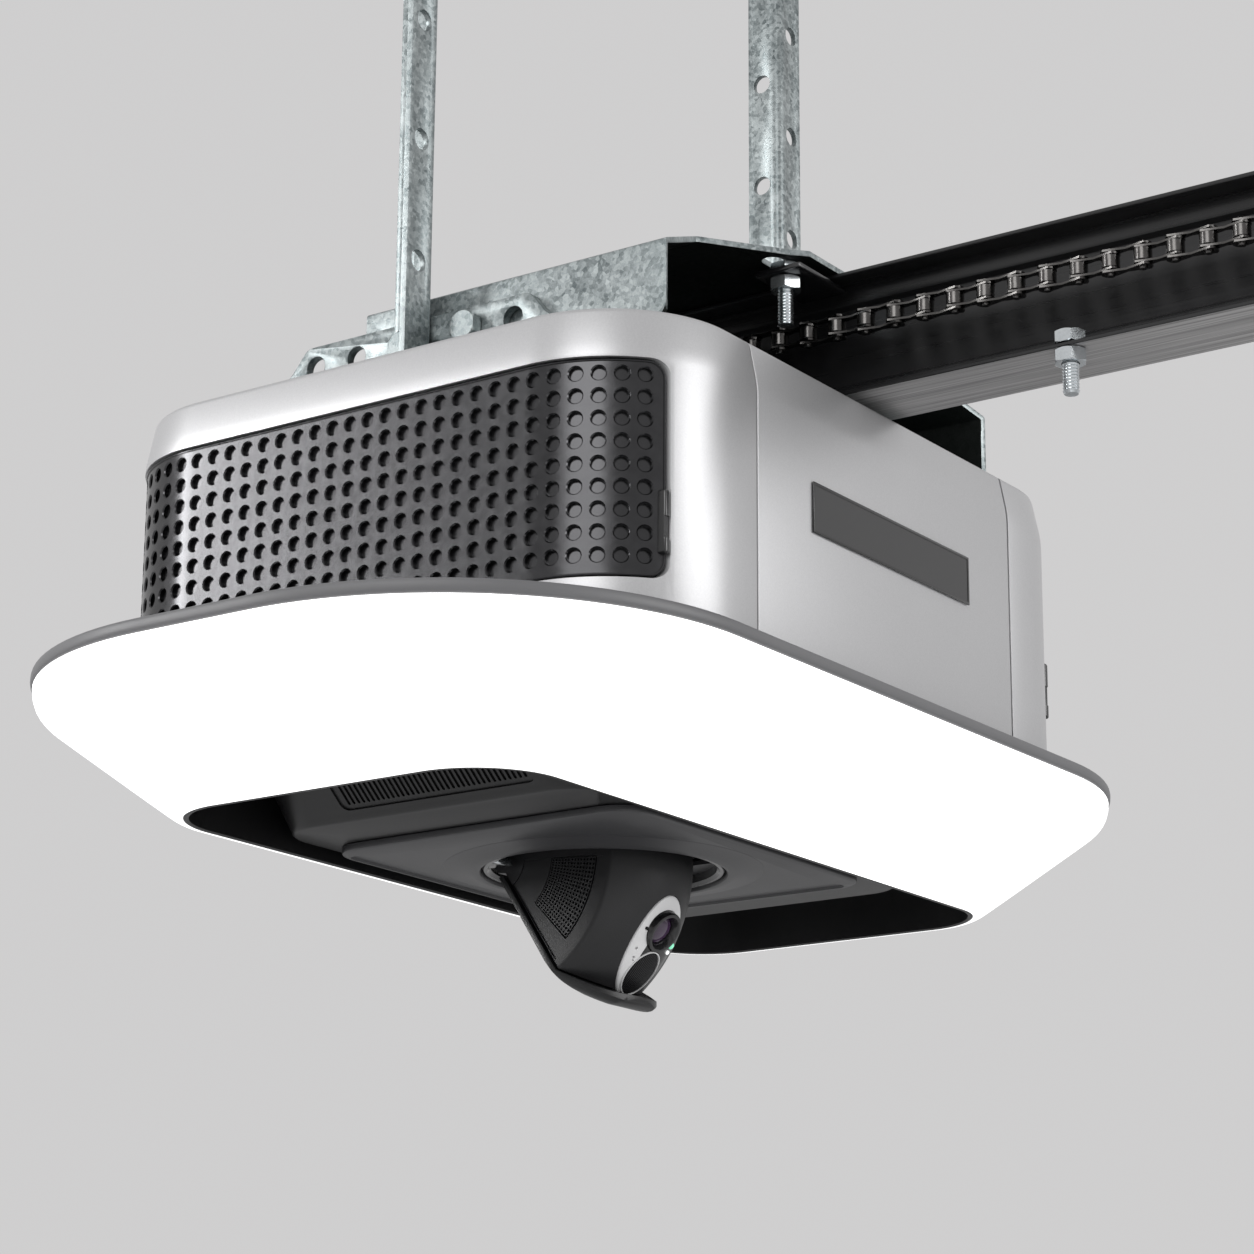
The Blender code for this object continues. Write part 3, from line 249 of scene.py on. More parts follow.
def box(name, low, high, soft=0.0, segments=2):
    """A cube between two corners, with its edges rounded."""
    only()
    size = [(b - a) * MM for a, b in zip(low, high)]
    middle = spot(*[(a + b) / 2 for a, b in zip(low, high)])
    bpy.ops.mesh.primitive_cube_add(size=1, location=middle, scale=size)
    piece = settled(bpy.context.object)
    piece.name = name
    if soft:
        bpy.ops.object.mode_set(mode="EDIT")
        bpy.ops.mesh.select_all(action="SELECT")
        bpy.ops.mesh.bevel(offset=soft * MM, segments=segments, affect="EDGES")
        bpy.ops.object.mode_set(mode="OBJECT")
    return piece


# %% [markdown]
# ## Cutting, rounding and smoothing
# Windows, slots and bores are cut with a Boolean modifier that is applied at once. A Bevel modifier then
# rounds the sharp edges, because no real edge is perfectly sharp and a rounded one catches the light. Shading
# is smooth over curves and stays crisp where two faces meet at more than the given angle.

# %% Boolean, bevel and shading helpers


def applied(piece, kind, **settings):
    """Add one modifier with its settings and apply it."""
    only(piece)
    step = piece.modifiers.new(kind.lower(), kind)
    for key, value in settings.items():
        setattr(step, key, value)
    bpy.ops.object.modifier_apply(modifier=step.name)
    return piece


def boolean(piece, operation, tools):
    """Apply each tool to the piece and throw the tool away."""
    for tool in tools:
        applied(piece, "BOOLEAN", object=tool, operation=operation, solver="EXACT")
        bpy.data.objects.remove(tool, do_unlink=True)
    return piece


def cut(piece, *tools):
    return boolean(piece, "DIFFERENCE", tools)


def weld(piece, *tools):
    return boolean(piece, "UNION", tools)


def keep(piece, *tools):
    return boolean(piece, "INTERSECT", tools)


def bored(piece, axis, centre, radius, start, end, sides=24):
    """Drill a round hole along an axis."""
    return cut(piece, turned("bore", axis, centre, [(radius, start), (radius, end)], sides))


def eased(piece, width, angle=40, segments=2):
    """Round every edge that is sharper than the angle."""
    only(piece)
    bpy.ops.object.mode_set(mode="EDIT")
    bpy.ops.mesh.select_all(action="SELECT")
    bpy.ops.mesh.remove_doubles(threshold=2e-5)
    bpy.ops.mesh.dissolve_limited(angle_limit=math.radians(0.5))
    bpy.ops.object.mode_set(mode="OBJECT")
    limits = {"limit_method": "ANGLE", "angle_limit": math.radians(angle), "harden_normals": False}
    return applied(piece, "BEVEL", width=width * MM, segments=segments, **limits)


def smooth(piece, angle=35):
    """Shade smoothly, except over edges sharper than the angle."""
    only(piece)
    bpy.ops.object.shade_smooth_by_angle(angle=math.radians(angle))
    return piece


# %% [markdown]
# ## Handing a piece to the frame
# A finished piece gets its material, rides on the body that carries it, and hides the plain CAD node that it
# stands for. A hidden part whose CAD shape is right is copied instead, and only its edges are eased.

# %% Fitting a piece to its body
made_pieces = []


def fitted(piece, body, slot, finish, *nodes):
    """Give the piece its material, its body and the nodes it replaces; its slot is not used."""
    piece.data.materials.clear()
    piece.data.materials.append(finish)
    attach(piece, body)
    if nodes:
        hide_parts(*nodes)
    made_pieces.append(piece.name)
    print(f"{piece.name}: {len(piece.data.polygons)} faces on {body}")
    return piece


def refined(node, name, body, slot, finish, soft=0.25, angle=35):
    """Copy a CAD node, merge its loose triangles, ease its edges and let the copy replace it."""
    copy = copied(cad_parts[node], name)
    copy.parent = None
    for key in list(copy.keys()):
        del copy[key]
    return fitted(smooth(eased(copy, soft, angle), angle), body, slot, finish, node)


# %% [markdown]
# ## Shader sums as plain Python
# A material is a net of nodes. Writing it node by node hides the idea, so this class wraps an output socket
# and lets plus, minus, times and the rest add the Math nodes. Colours are mixed with a Mix node instead,
# because a Math node would turn them grey. One method, add, makes every other kind of node.

# %% The Wire class


class Wire:
    """An output socket that does sums, and adds other nodes to the same tree."""

    def __init__(self, tree, socket=None):
        self.tree = tree
        self.socket = socket

    def add(self, kind, settings=None, inputs=None, out=0):
        """A new node: its type, its settings, the values or wires of its inputs, and which output to use."""
        node = self.tree.nodes.new("ShaderNode" + kind)
        for key, value in (settings or {}).items():
            if key == "stops":
                band = node.color_ramp.elements
                while len(band) < len(value):
                    band.new(0.5)
                for stop, (place, shade) in zip(band, value):
                    stop.position = place
                    stop.color = (shade, shade, shade, 1.0)
            else:
                setattr(node, key, value)
        for key, value in (inputs or {}).items():
            self.plug(node.inputs[key], value)
        return Wire(self.tree, node.outputs[out])

    def plug(self, place, value):
        """Link a wire to an input, or set the input to a plain value."""
        if isinstance(value, Wire):
            self.tree.links.new(value.socket, place)
        elif isinstance(value, tuple) and len(value) == 3 and place.type == "RGBA":
            place.default_value = (*value, 1.0)
        else:
            place.default_value = value

    def sum(self, operation, first, second=0.0):
        return self.add("Math", {"operation": operation}, {0: first, 1: second})

    def __add__(self, other):
        return self.sum("ADD", self, other)

    __radd__ = __add__

    def __sub__(self, other):
        return self.sum("SUBTRACT", self, other)

    def __rsub__(self, other):
        return self.sum("SUBTRACT", other, self)

    def __mul__(self, other):
        return self.sum("MULTIPLY", self, other)

    __rmul__ = __mul__

    def __gt__(self, other):
        return self.sum("GREATER_THAN", self, other)

    def __lt__(self, other):
        return self.sum("LESS_THAN", self, other)

    def mix(self, low, high):
        """Blend two colours, with this wire as the share of the second."""
        return self.add("Mix", {"data_type": "RGBA"}, {0: self, 6: low, 7: high}, out=2)


# %% [markdown]
# ## Starting a finish
# Every finish begins the same way: a Principled shader whose fixed properties are set on its own sockets, and
# a wire with the object's own coordinates. Patterns then stay put on the piece when it moves. Noise at two
# scales gives the faint unevenness of a real surface, and a Bump node gives it touch.

# %% Finish helpers


def start_finish(name, **fixed):
    """A new material, its Principled shader and a wire of object coordinates in metres."""
    material = bpy.data.materials.new(name)
    material.use_nodes = True
    tree = material.node_tree
    shader = tree.nodes["Principled BSDF"]
    for key, value in fixed.items():
        socket = shader.inputs[key.replace("_", " ").title().replace("Ior", "IOR")]
        socket.default_value = (*value, 1.0) if isinstance(value, tuple) and len(value) == 3 else value
    place = Wire(tree).add("TexCoord", out=3)
    return material, shader, place


def noise(place, scale, detail=2.0, rough=0.5):
    """Cloudy noise between 0 and 1."""
    inputs = {"Vector": place, "Scale": scale, "Detail": detail, "Roughness": rough}
    return place.add("TexNoise", None, inputs)


def along_axis(place, out):
    """One coordinate of a vector wire: 0 for X, 1 for Y, 2 for Z."""
    return place.add("SeparateXYZ", None, {0: place}, out=out)


def stretched(place, x, y, z):
    """The coordinates scaled apart, so that a pattern draws out into streaks."""
    return place.add("Mapping", None, {"Vector": place, "Scale": (x, y, z)})


def bumped(shader, height, strength, depth):
    """Let a height wire tilt the shader's normal."""
    place = height.add("Bump", None, {"Height": height, "Strength": strength, "Distance": depth})
    height.plug(shader.inputs["Normal"], place)


def painted(material, shader, colour, rough):
    """Feed the colour and the roughness, and return the finished material."""
    colour.plug(shader.inputs["Base Color"], colour)
    colour.plug(shader.inputs["Roughness"], rough)
    return material


# %% [markdown]
# ## Silver paint
# The housing is moulded or pressed and then sprayed with a fine metallic paint. It is light grey, half
# metallic and satin. Very small flakes vary the brightness, and a slow drift in the gloss keeps a big flat
# face from looking dead.

# %% Silver paint


def silver_paint():
    look = {"metallic": 0.55, "coat_weight": 0.12, "coat_roughness": 0.3}
    material, shader, place = start_finish("silver_paint_finish", **look)
    flakes = noise(place, 1600, 1.0)
    drift = noise(place, 9, 2.0)
    colour = (flakes * 0.6 + drift * 0.4).mix((0.46, 0.46, 0.468), (0.6, 0.6, 0.608))
    bumped(shader, flakes, 0.06, 0.0002)
    return painted(material, shader, colour, drift * 0.08 + 0.34)


SILVER = silver_paint()

# %% [markdown]
# ## Black and charcoal plastics
# The pan, the lid and the small covers are moulded in black with a fine spark-eroded grain. The camera parts
# are a shade lighter. One function makes the family: the grain is bump, and a little dust lifts the colour.

# %% Moulded plastics


def moulded(name, dark, light, rough, grain=2400, strength=0.25, coat=0.0):
    """A moulded plastic between two colours, with a fine grain."""
    material, shader, place = start_finish(name, coat_weight=coat, coat_roughness=0.2)
    fine = noise(place, grain, 1.0)
    dust = noise(place, 14, 4.0, 0.6)
    bumped(shader, fine, strength, 0.00012)
    return painted(material, shader, dust.mix(dark, light), dust * 0.14 + rough)


BLACK = moulded("black_plastic_finish", (0.0035, 0.0035, 0.004), (0.008, 0.008, 0.0085), 0.3)
GLOSS_BLACK = moulded("gloss_black_finish", (0.004, 0.004, 0.0045), (0.009, 0.009, 0.01), 0.14, coat=0.5)
CHARCOAL = moulded("charcoal_finish", (0.007, 0.007, 0.008), (0.013, 0.013, 0.0145), 0.36)
PLATE_GREY = moulded("camera_plate_finish", (0.028, 0.028, 0.03), (0.045, 0.045, 0.048), 0.3)
RIM_GREY = moulded("rim_grey_finish", (0.13, 0.13, 0.135), (0.17, 0.17, 0.175), 0.38)
WHITE_PLASTIC = moulded("white_plastic_finish", (0.74, 0.74, 0.75), (0.82, 0.82, 0.82), 0.28, strength=0.08)
NYLON = moulded("nylon_finish", (0.62, 0.6, 0.52), (0.74, 0.72, 0.64), 0.42, strength=0.1)

# %% [markdown]
# ## The perforated sheet
# The side grilles are thin sheet, coated in a satin black that reads nearly as dark metal. It reflects its
# surroundings softly, so its shader is all metal with a middling roughness. A smoother sheet lies behind it.

# %% Grille coating


def grille_coat():
    look = {"metallic": 1.0, "coat_weight": 0.15, "coat_roughness": 0.2}
    material, shader, place = start_finish("grille_coat_finish", **look)
    mottle = noise(place, 260, 3.0)
    drift = noise(place, 22, 3.0)
    colour = (mottle * 0.5 + drift * 0.5).mix((0.035, 0.035, 0.037), (0.075, 0.075, 0.078))
    bumped(shader, mottle, 0.12, 0.0002)
    return painted(material, shader, colour, mottle * 0.1 + 0.18)


def liner_metal():
    """The smooth dark sheet behind the holes, which mirrors the room more sharply."""
    material, shader, place = start_finish("grille_liner_finish", metallic=0.9)
    drift = noise(place, 40, 2.0)
    colour = drift.mix((0.045, 0.045, 0.047), (0.075, 0.075, 0.078))
    return painted(material, shader, colour, drift * 0.08 + 0.16)


GRILLE_COAT = grille_coat()
LINER_METAL = liner_metal()

# %% [markdown]
# ## Lit diffuser
# The lamp ring is milky acrylic with light boards behind it. When it is on, it is an even white. Emission
# carries that, and a faint noise in its colour keeps the sheet from being a perfectly flat tone.

# %% Diffuser


def lit_diffuser():
    material, shader, place = start_finish("lit_diffuser_finish", roughness=0.4, emission_strength=1.15)
    cloud = noise(place, 12, 2.0)
    cloud.plug(shader.inputs["Base Color"], cloud.mix((0.86, 0.86, 0.86), (0.9, 0.9, 0.9)))
    cloud.plug(shader.inputs["Emission Color"], cloud.mix((0.97, 0.97, 0.97), (1.0, 1.0, 1.0)))
    return material


DIFFUSER = lit_diffuser()

# %% [markdown]
# ## Galvanised steel
# Zinc freezes in crystals, so hot-dipped sheet shows patches that each turn the light their own way. Voronoi
# cells stand for the spangle, and they change both brightness and gloss. White dust of zinc oxide gathers in
# a finer noise. The bracket's underside and inward faces get a painted shade, a near-black found from their
# face directions.

# %% Zinc and plated steel


def galvanised(name, painted_shade_inside=False):
    material, shader, place = start_finish(name, metallic=0.8)
    cells = place.add("TexVoronoi", None, {"Vector": place, "Scale": 620.0}, out=1)
    grey = cells.add("RGBToBW", None, {0: cells})
    fine = noise(place, 1300, 3.0, 0.7)
    bloom = noise(place, 60, 4.0, 0.65)
    mask = bloom.add("ValToRGB", {"stops": ((0.42, 0.0), (0.62, 1.0))}, {0: bloom})
    shade = (grey * 0.42 + fine * 0.4 + mask * 0.18 - 0.5) * 1.7 + 0.5
    colour = shade.mix((0.13, 0.155, 0.16), (0.47, 0.51, 0.512))
    if painted_shade_inside:
        # Painted shade: faces that point down, or inwards towards the middle, get a near-black colour
        # standing in for the shade under the bracket.
        facing = place.add("NewGeometry", out=1)
        down = along_axis(facing, 2) < -0.3
        turned_in = along_axis(facing, 0) * along_axis(place, 0) < -0.05
        painted_shade_colour = fine.mix((0.008, 0.01, 0.009), (0.03, 0.035, 0.033))
        colour = down.sum("MAXIMUM", down, turned_in).mix(colour, painted_shade_colour)
    bumped(shader, grey * 0.5 + fine * 0.5, 0.16, 0.0003)
    return painted(material, shader, colour, grey * 0.2 + fine * 0.12 + 0.26)


def plated(name, dark, light, rough, metal=1.0):
    """Plated or bare steel between two greys."""
    material, shader, place = start_finish(name, metallic=metal)
    fine = noise(place, 900, 3.0)
    drift = noise(place, 90, 3.0)
    colour = (fine * 0.5 + drift * 0.5).mix(dark, light)
    bumped(shader, fine, 0.1, 0.00015)
    return painted(material, shader, colour, drift * 0.15 + rough)


ZINC = galvanised("galvanised_finish")
# The hat bracket's finish carries the painted shade on its downward and inward faces.
HAT_ZINC = galvanised("hat_sheet_finish", True)
BRIGHT_STEEL = plated("bright_steel_finish", (0.5, 0.53, 0.55), (0.78, 0.82, 0.84), 0.16)
CHAIN_STEEL = plated("chain_steel_finish", (0.05, 0.048, 0.047), (0.15, 0.145, 0.14), 0.18)
CAST_GREY = plated("cast_grey_finish", (0.1, 0.1, 0.1), (0.2, 0.2, 0.2), 0.4, 0.6)

# %% [markdown]
# ## Black rail with a bare underside
# The rail is folded from steel that is painted black, while its sole is left bright and keeps the long
# scratches of the rolling mill. The face's own direction tells the two apart: where the normal points
# straight down, the bare finish shows. Noise drawn out along the rail makes the scratches.

# %% Rail finish


def rail_paint():
    material, shader, place = start_finish("rail_black_finish", coat_roughness=0.25)
    streaks = noise(stretched(place, 900, 9, 900), 1.0, 4.0, 0.6)
    wear = noise(place, 70, 4.0, 0.6)
    facing = place.add("NewGeometry", out=1)
    sole = (along_axis(facing, 2) < -0.9) * (along_axis(place, 2) < spot(0, 0, 3.9).z)
    paint = wear.mix((0.006, 0.006, 0.0065), (0.016, 0.016, 0.017))
    bare = ((streaks - 0.5) * 2.2 + 0.5).mix((0.16, 0.158, 0.158), (0.56, 0.55, 0.55))
    bumped(shader, streaks, 0.08, 0.0002)
    sole.plug(shader.inputs["Metallic"], sole * 0.6)
    return painted(material, shader, sole.mix(paint, bare), streaks * 0.2 + sole * 0.12 + 0.2)


RAIL_PAINT = rail_paint()

# %% [markdown]
# ## Glass, circuit board and lights
# The lens is coated glass with a painted purple glint towards its rim. The circuit boards have green solder
# mask with copper tracks under it, drawn here by a brick pattern. Two small lights on the camera face glow.

# %% Small finishes


def lens_glass():
    look = {"roughness": 0.04, "coat_weight": 1.0, "coat_roughness": 0.02}
    material, shader, place = start_finish("lens_glass_finish", **look)
    # Painted reflection: the colour turns purple where the glass faces away from the camera, standing in for
    # the coating's glint.
    painted_glint_weight = place.add("LayerWeight", None, {"Blend": 0.35}, out=1)
    swirl = noise(place, 300, 1.0)
    colour = (painted_glint_weight * 0.8 + swirl * 0.2).mix((0.004, 0.002, 0.006), (0.09, 0.025, 0.12))
    colour.plug(shader.inputs["Base Color"], colour)
    return material


def circuit_board():
    material, shader, place = start_finish("circuit_board_finish", coat_weight=0.4, coat_roughness=0.2)
    greens = {"Color1": (0.008, 0.07, 0.03), "Color2": (0.012, 0.1, 0.04)}
    inputs = {"Vector": place, "Scale": 180.0, "Mortar Size": 0.03, **greens}
    brick = place.add("TexBrick", {"offset": 0.5}, inputs)
    specks = noise(place, 500, 2.0)
    colour = (specks > 0.62).mix(brick, (0.3, 0.24, 0.1))
    return painted(material, shader, colour, specks * 0.2 + 0.3)


def glowing(name, low, high, strength):
    """A small light of its own colour."""
    material, shader, place = start_finish(name, roughness=0.2, emission_strength=strength)
    grain = noise(place, 800, 1.0)
    grain.plug(shader.inputs["Base Color"], grain.mix(low, high))
    grain.plug(shader.inputs["Emission Color"], grain.mix(low, high))
    return material


LENS_GLASS = lens_glass()
BOARD = circuit_board()
GREEN_GLOW = glowing("green_light_finish", (0.1, 0.5, 0.3), (0.3, 0.8, 0.55), 0.7)
WHITE_GLOW = glowing("white_light_finish", (0.85, 0.9, 0.88), (1.0, 1.0, 1.0), 0.9)
print("finishes:", len(bpy.data.materials))

# %% [markdown]
# ## Housing covers
# The housing is a wrap of four silver covers with round corners and a gentle shoulder near the top. The whole
# wrap is one skin over the same rounded rectangle at several insets. Each cover is a copy that keeps its own
# stretch between the seams, so that neighbouring covers line up exactly across their gap.

# %% Housing wrap
BODY_X, BODY_Y, BODY_CORNER = 158.5, 130.5, 52.0
BODY_BOTTOM = -112.7
FAR = 300.0
SEAM_X = 91.0
SEAM_GAP = 1.0


def body_outline(inset, z):
    """The housing's plan, drawn in by the inset."""
    return ring(rounded(BODY_X - inset, BODY_Y - inset, BODY_CORNER - inset, 24), z)


wrap_profile = [
    (0.5, BODY_BOTTOM),
    (0.12, BODY_BOTTOM + 0.15),
    (0.0, BODY_BOTTOM + 0.6),
    (0.0, -19.5),
    (0.1, -17.6),
    (0.3, -15.6),
    (0.62, -13.4),
    (2.95, -1.7),
    (3.3, -0.6),
    (3.9, -0.1),
    (4.4, 0.0),
    (5.8, 0.0),
    (2.5, -16.0),
    (2.5, BODY_BOTTOM),
]
wrap = skin("housing_wrap", [body_outline(inset, z) for inset, z in wrap_profile], closed_loop=True)


print("housing wrap:", len(wrap.data.polygons), "faces")

# %% [markdown]
# ## Side covers with their windows
# Each side cover has a wide window that runs round both corners. Its cutter is a prism seen from the front,
# with rounded inner corners. It reaches a little further at the rear than at the front, so it is made in two
# halves. A notch leaves room for the finger tab of the grille.

# %% Side covers
WINDOW_LOW, WINDOW_HIGH, WINDOW_CORNER = -98.5, -19.0, 6.0
FRONT_REACH, REAR_REACH = 24.5, 27.0
LATCH_X, LATCH_Y = BODY_X - FRONT_REACH + 1.6, -121.6
LATCH_TOP, LATCH_LENGTH, LATCH_WIDTH = -66.4, 23.0, 3.0


def window_tools(side):
    """The front and rear halves of a window's cutter."""
    tools = []
    for reach, start, end in ((FRONT_REACH, -FAR, 0.3), (REAR_REACH, 0, FAR)):
        middle = BODY_X - reach + WINDOW_CORNER
        pairs = [(FAR, WINDOW_LOW), (FAR, WINDOW_HIGH)]
        pairs += arc(WINDOW_CORNER, 90, 180, 10, (middle, WINDOW_HIGH - WINDOW_CORNER))
        pairs += arc(WINDOW_CORNER, 180, 270, 10, (middle, WINDOW_LOW + WINDOW_CORNER))
        tools.append(prism("window_tool", [(side * x, z) for x, z in pairs], 1, start, end))
    return tools


def latch_box(name, side, grow, soft=0.0):
    """The block of a latch tab, grown all round to cut its notch."""
    half = LATCH_WIDTH / 2 + grow
    x = side * LATCH_X
    low = (x - half, LATCH_Y - 1.2 - grow, LATCH_TOP - LATCH_LENGTH - grow)
    high = (x + half, LATCH_Y + 3.2 + grow, LATCH_TOP + grow)
    return box(name, low, high, soft, 3)


for name, side in (("left", -1), ("right", 1)):
    cover = copied(wrap, f"{name}_side_cover")
    low, high = span(side, SEAM_X + SEAM_GAP, FAR)
    keep(cover, box("cover_region", (low, -FAR, -FAR), (high, FAR, FAR)))
    cut(cover, *window_tools(side), latch_box("latch_notch", side, 0.3))
    smooth(eased(cover, 0.45, 50, 3), 40)
    fitted(cover, "head", "silver_paint", SILVER, f"{name}_cover")

# %% [markdown]
# ## Front and rear panels
# The front panel is plain. The rear one is bored for three push buttons, and has a window for the mains inlet
# and six cooling slots.

# %% Front and rear panels
BUTTONS = (("up", -54.0), ("down", -37.0), ("learn", -20.0))
BUTTON_Z = -40.0
BUTTON_BORE = 4.9
INLET = (41.0, 69.0, -86.5, -65.5)

front = copied(wrap, "front_cover_panel")
keep(front, box("front_region", (-SEAM_X, -FAR, -FAR), (SEAM_X, 0, FAR)))
smooth(eased(front, 0.45, 50, 3), 40)
fitted(front, "head", "silver_paint", SILVER, "front_panel")

rear = wrap
rear.name = "rear_cover_panel"
keep(rear, box("rear_region", (-SEAM_X, 0, -FAR), (SEAM_X, FAR, FAR)))
for name, x in BUTTONS:
    bored(rear, 1, (x, BUTTON_Z), BUTTON_BORE, 110, 140, 32)
x0, x1, z0, z1 = INLET
cut(rear, box("inlet_window", (x0 - 0.4, 100, z0 - 0.4), (x1 + 0.4, 150, z1 + 0.4)))
for row in range(6):
    cut(rear, prism("cooling_slot", slot_outline(1.1, -66, -16, -58 - row * 6, 8), 1, 120, 140))
smooth(eased(rear, 0.45, 50, 2), 40)
fitted(rear, "head", "silver_paint", SILVER, "rear_panel")

# %% [markdown]
# ## Perforated grilles
# Each grille is one sheet with 31 columns and 9 rows of round holes. One cell is modelled once: a square with
# a countersunk hole through the sheet's thickness. Two Array modifiers repeat it, the doubles merge, and the
# flat sheet gets a raised bead round its edge. Then every point is wrapped along the housing's own outline.

# %% One cell of the grille, repeated
PITCH, COLUMNS, ROWS = 8.2, 31, 9
SHEET = 1.8
HOLE = 2.98
FIELD_RISE = 1.1
GRILLE_INSET = 0.9
CLEAR = 0.7
MERGE = 0.01


def grille_cell(side_points, rings, pitch=PITCH):
    """A cell with a hole: (radius or None for the square edge, height) rings."""
    rows = []
    for radius, height in rings:
        row = []
        for k in range(side_points):
            a = 2 * math.pi * k / side_points
            c, s = math.cos(a), math.sin(a)
            reach = radius if radius is not None else 0.5 * pitch / max(abs(c), abs(s))
            row.append(Vector((c * reach, s * reach, height)))
        rows.append(row)
    cell = extruded(rows)
    bpy.ops.object.mode_set(mode="OBJECT")
    return cell


def repeated(cell, pitch, columns, rows):
    """Array the cell both ways, centred, with its touching edges merged."""
    merging = {"use_merge_vertices": True, "merge_threshold": MERGE}
    for count, step in ((columns, (pitch, 0, 0)), (rows, (0, pitch, 0))):
        offset = {"use_relative_offset": False, "use_constant_offset": True, "constant_offset_displace": step}
        applied(cell, "ARRAY", count=count, **offset, **merging)
    cell.data.transform(Matrix.Translation((-(columns - 1) * pitch / 2, -(rows - 1) * pitch / 2, 0)))
    return cell


# %% Bead round the grille's edge
RHO = BODY_CORNER - GRILLE_INSET
FRONT_ANGLE = math.acos((BODY_CORNER - FRONT_REACH + CLEAR) / RHO)
REAR_ANGLE = math.acos((BODY_CORNER - REAR_REACH + CLEAR) / RHO)
FRONT_RUN = RHO * FRONT_ANGLE
STRAIGHT_RUN = 2 * (BODY_Y - BODY_CORNER)
REAR_RUN = RHO * REAR_ANGLE
HALF_LONG = (FRONT_RUN + STRAIGHT_RUN + REAR_RUN) / 2
HALF_TALL = (WINDOW_HIGH - WINDOW_LOW) / 2 - CLEAR
EDGE_CORNER = 6.3
BEAD = ((0.95, 0.0), (0.8, 0.35), (0.4, 0.45), (0.1, 0.2), (0.0, -0.3), (0.0, -SHEET), (None, -SHEET))


def edge_place(u, v, inset):
    """Where a point on the edge of the field of holes lands on the sheet's rounded outline."""
    long, tall, corner = HALF_LONG - inset, HALF_TALL - inset, max(EDGE_CORNER - inset, 0.5)
    u *= long / (COLUMNS * PITCH / 2)
    v = (v - FIELD_RISE) * tall / (ROWS * PITCH / 2)
    over_u, over_v = abs(u) - (long - corner), abs(v) - (tall - corner)
    if over_u > 0 and over_v > 0:
        pull = corner / math.hypot(over_u, over_v)
        u = math.copysign(long - corner + over_u * pull, u)
        v = math.copysign(tall - corner + over_v * pull, v)
    return u, v


def beaded(sheet):
    """Extrude the open edge of the front face outwards over a bead and round to the back face."""
    only(sheet)
    bpy.ops.object.mode_set(mode="EDIT")
    bpy.ops.mesh.select_mode(type="VERT")
    shape = bmesh.from_edit_mesh(sheet.data)
    edge_points = {}
    for edge in shape.edges:
        edge.select = edge.is_boundary and all(abs(v.co.z) < 1e-4 for v in edge.verts)
    for vertex in shape.verts:
        vertex.select = any(e.select for e in vertex.link_edges)
        if vertex.select:
            edge_points[tuple(round(c, 3) for c in vertex.co)] = (vertex.co.x, vertex.co.y)
    bmesh.update_edit_mesh(sheet.data)
    bpy.ops.mesh.select_mode(type="EDGE")
    for inset, height in BEAD:
        bpy.ops.mesh.extrude_edges_indiv()
        shape = bmesh.from_edit_mesh(sheet.data)
        shape.verts.ensure_lookup_table()
        moved = {}
        for vertex in shape.verts[-len(edge_points) :]:
            u, v = edge_points[tuple(round(c, 3) for c in vertex.co)]
            place = (u, v) if inset is None else edge_place(u, v, inset)
            vertex.co = (*place, height)
            moved[tuple(round(c, 3) for c in vertex.co)] = (u, v)
        edge_points = moved
        bmesh.update_edit_mesh(sheet.data)
    bpy.ops.mesh.select_all(action="SELECT")
    bpy.ops.mesh.remove_doubles(threshold=MERGE)
    bpy.ops.object.mode_set(mode="OBJECT")
    return sheet


hole_rings = [(None, -SHEET), (HOLE - 0.42, -SHEET), (HOLE - 0.42, -0.5)]
hole_rings += [(HOLE - 0.12, -0.14), (HOLE, 0.0), (None, 0.0)]
flat_grille = repeated(grille_cell(16, hole_rings), PITCH, COLUMNS, ROWS)
flat_grille.data.transform(Matrix.Translation((0, FIELD_RISE, 0)))
beaded(flat_grille)
print("flat grille:", len(flat_grille.data.polygons), "faces")

# %% Grilles wrapped round the housing
WINDOW_MIDDLE = (WINDOW_LOW + WINDOW_HIGH) / 2


def wrapped(u, v, depth, side):
    """A point of the flat sheet laid along the housing, from the front corner to the rear one."""
    run = u + HALF_LONG
    rho = RHO + depth
    x, y = BODY_X - BODY_CORNER, BODY_Y - BODY_CORNER
    if run < FRONT_RUN:
        a = FRONT_ANGLE - run / RHO
        return spot(side * (x + rho * math.cos(a)), -y - rho * math.sin(a), WINDOW_MIDDLE + v)
    if run < FRONT_RUN + STRAIGHT_RUN:
        return spot(side * (x + rho), -y + run - FRONT_RUN, WINDOW_MIDDLE + v)
    a = (run - FRONT_RUN - STRAIGHT_RUN) / RHO
    return spot(side * (x + rho * math.cos(a)), y + rho * math.sin(a), WINDOW_MIDDLE + v)


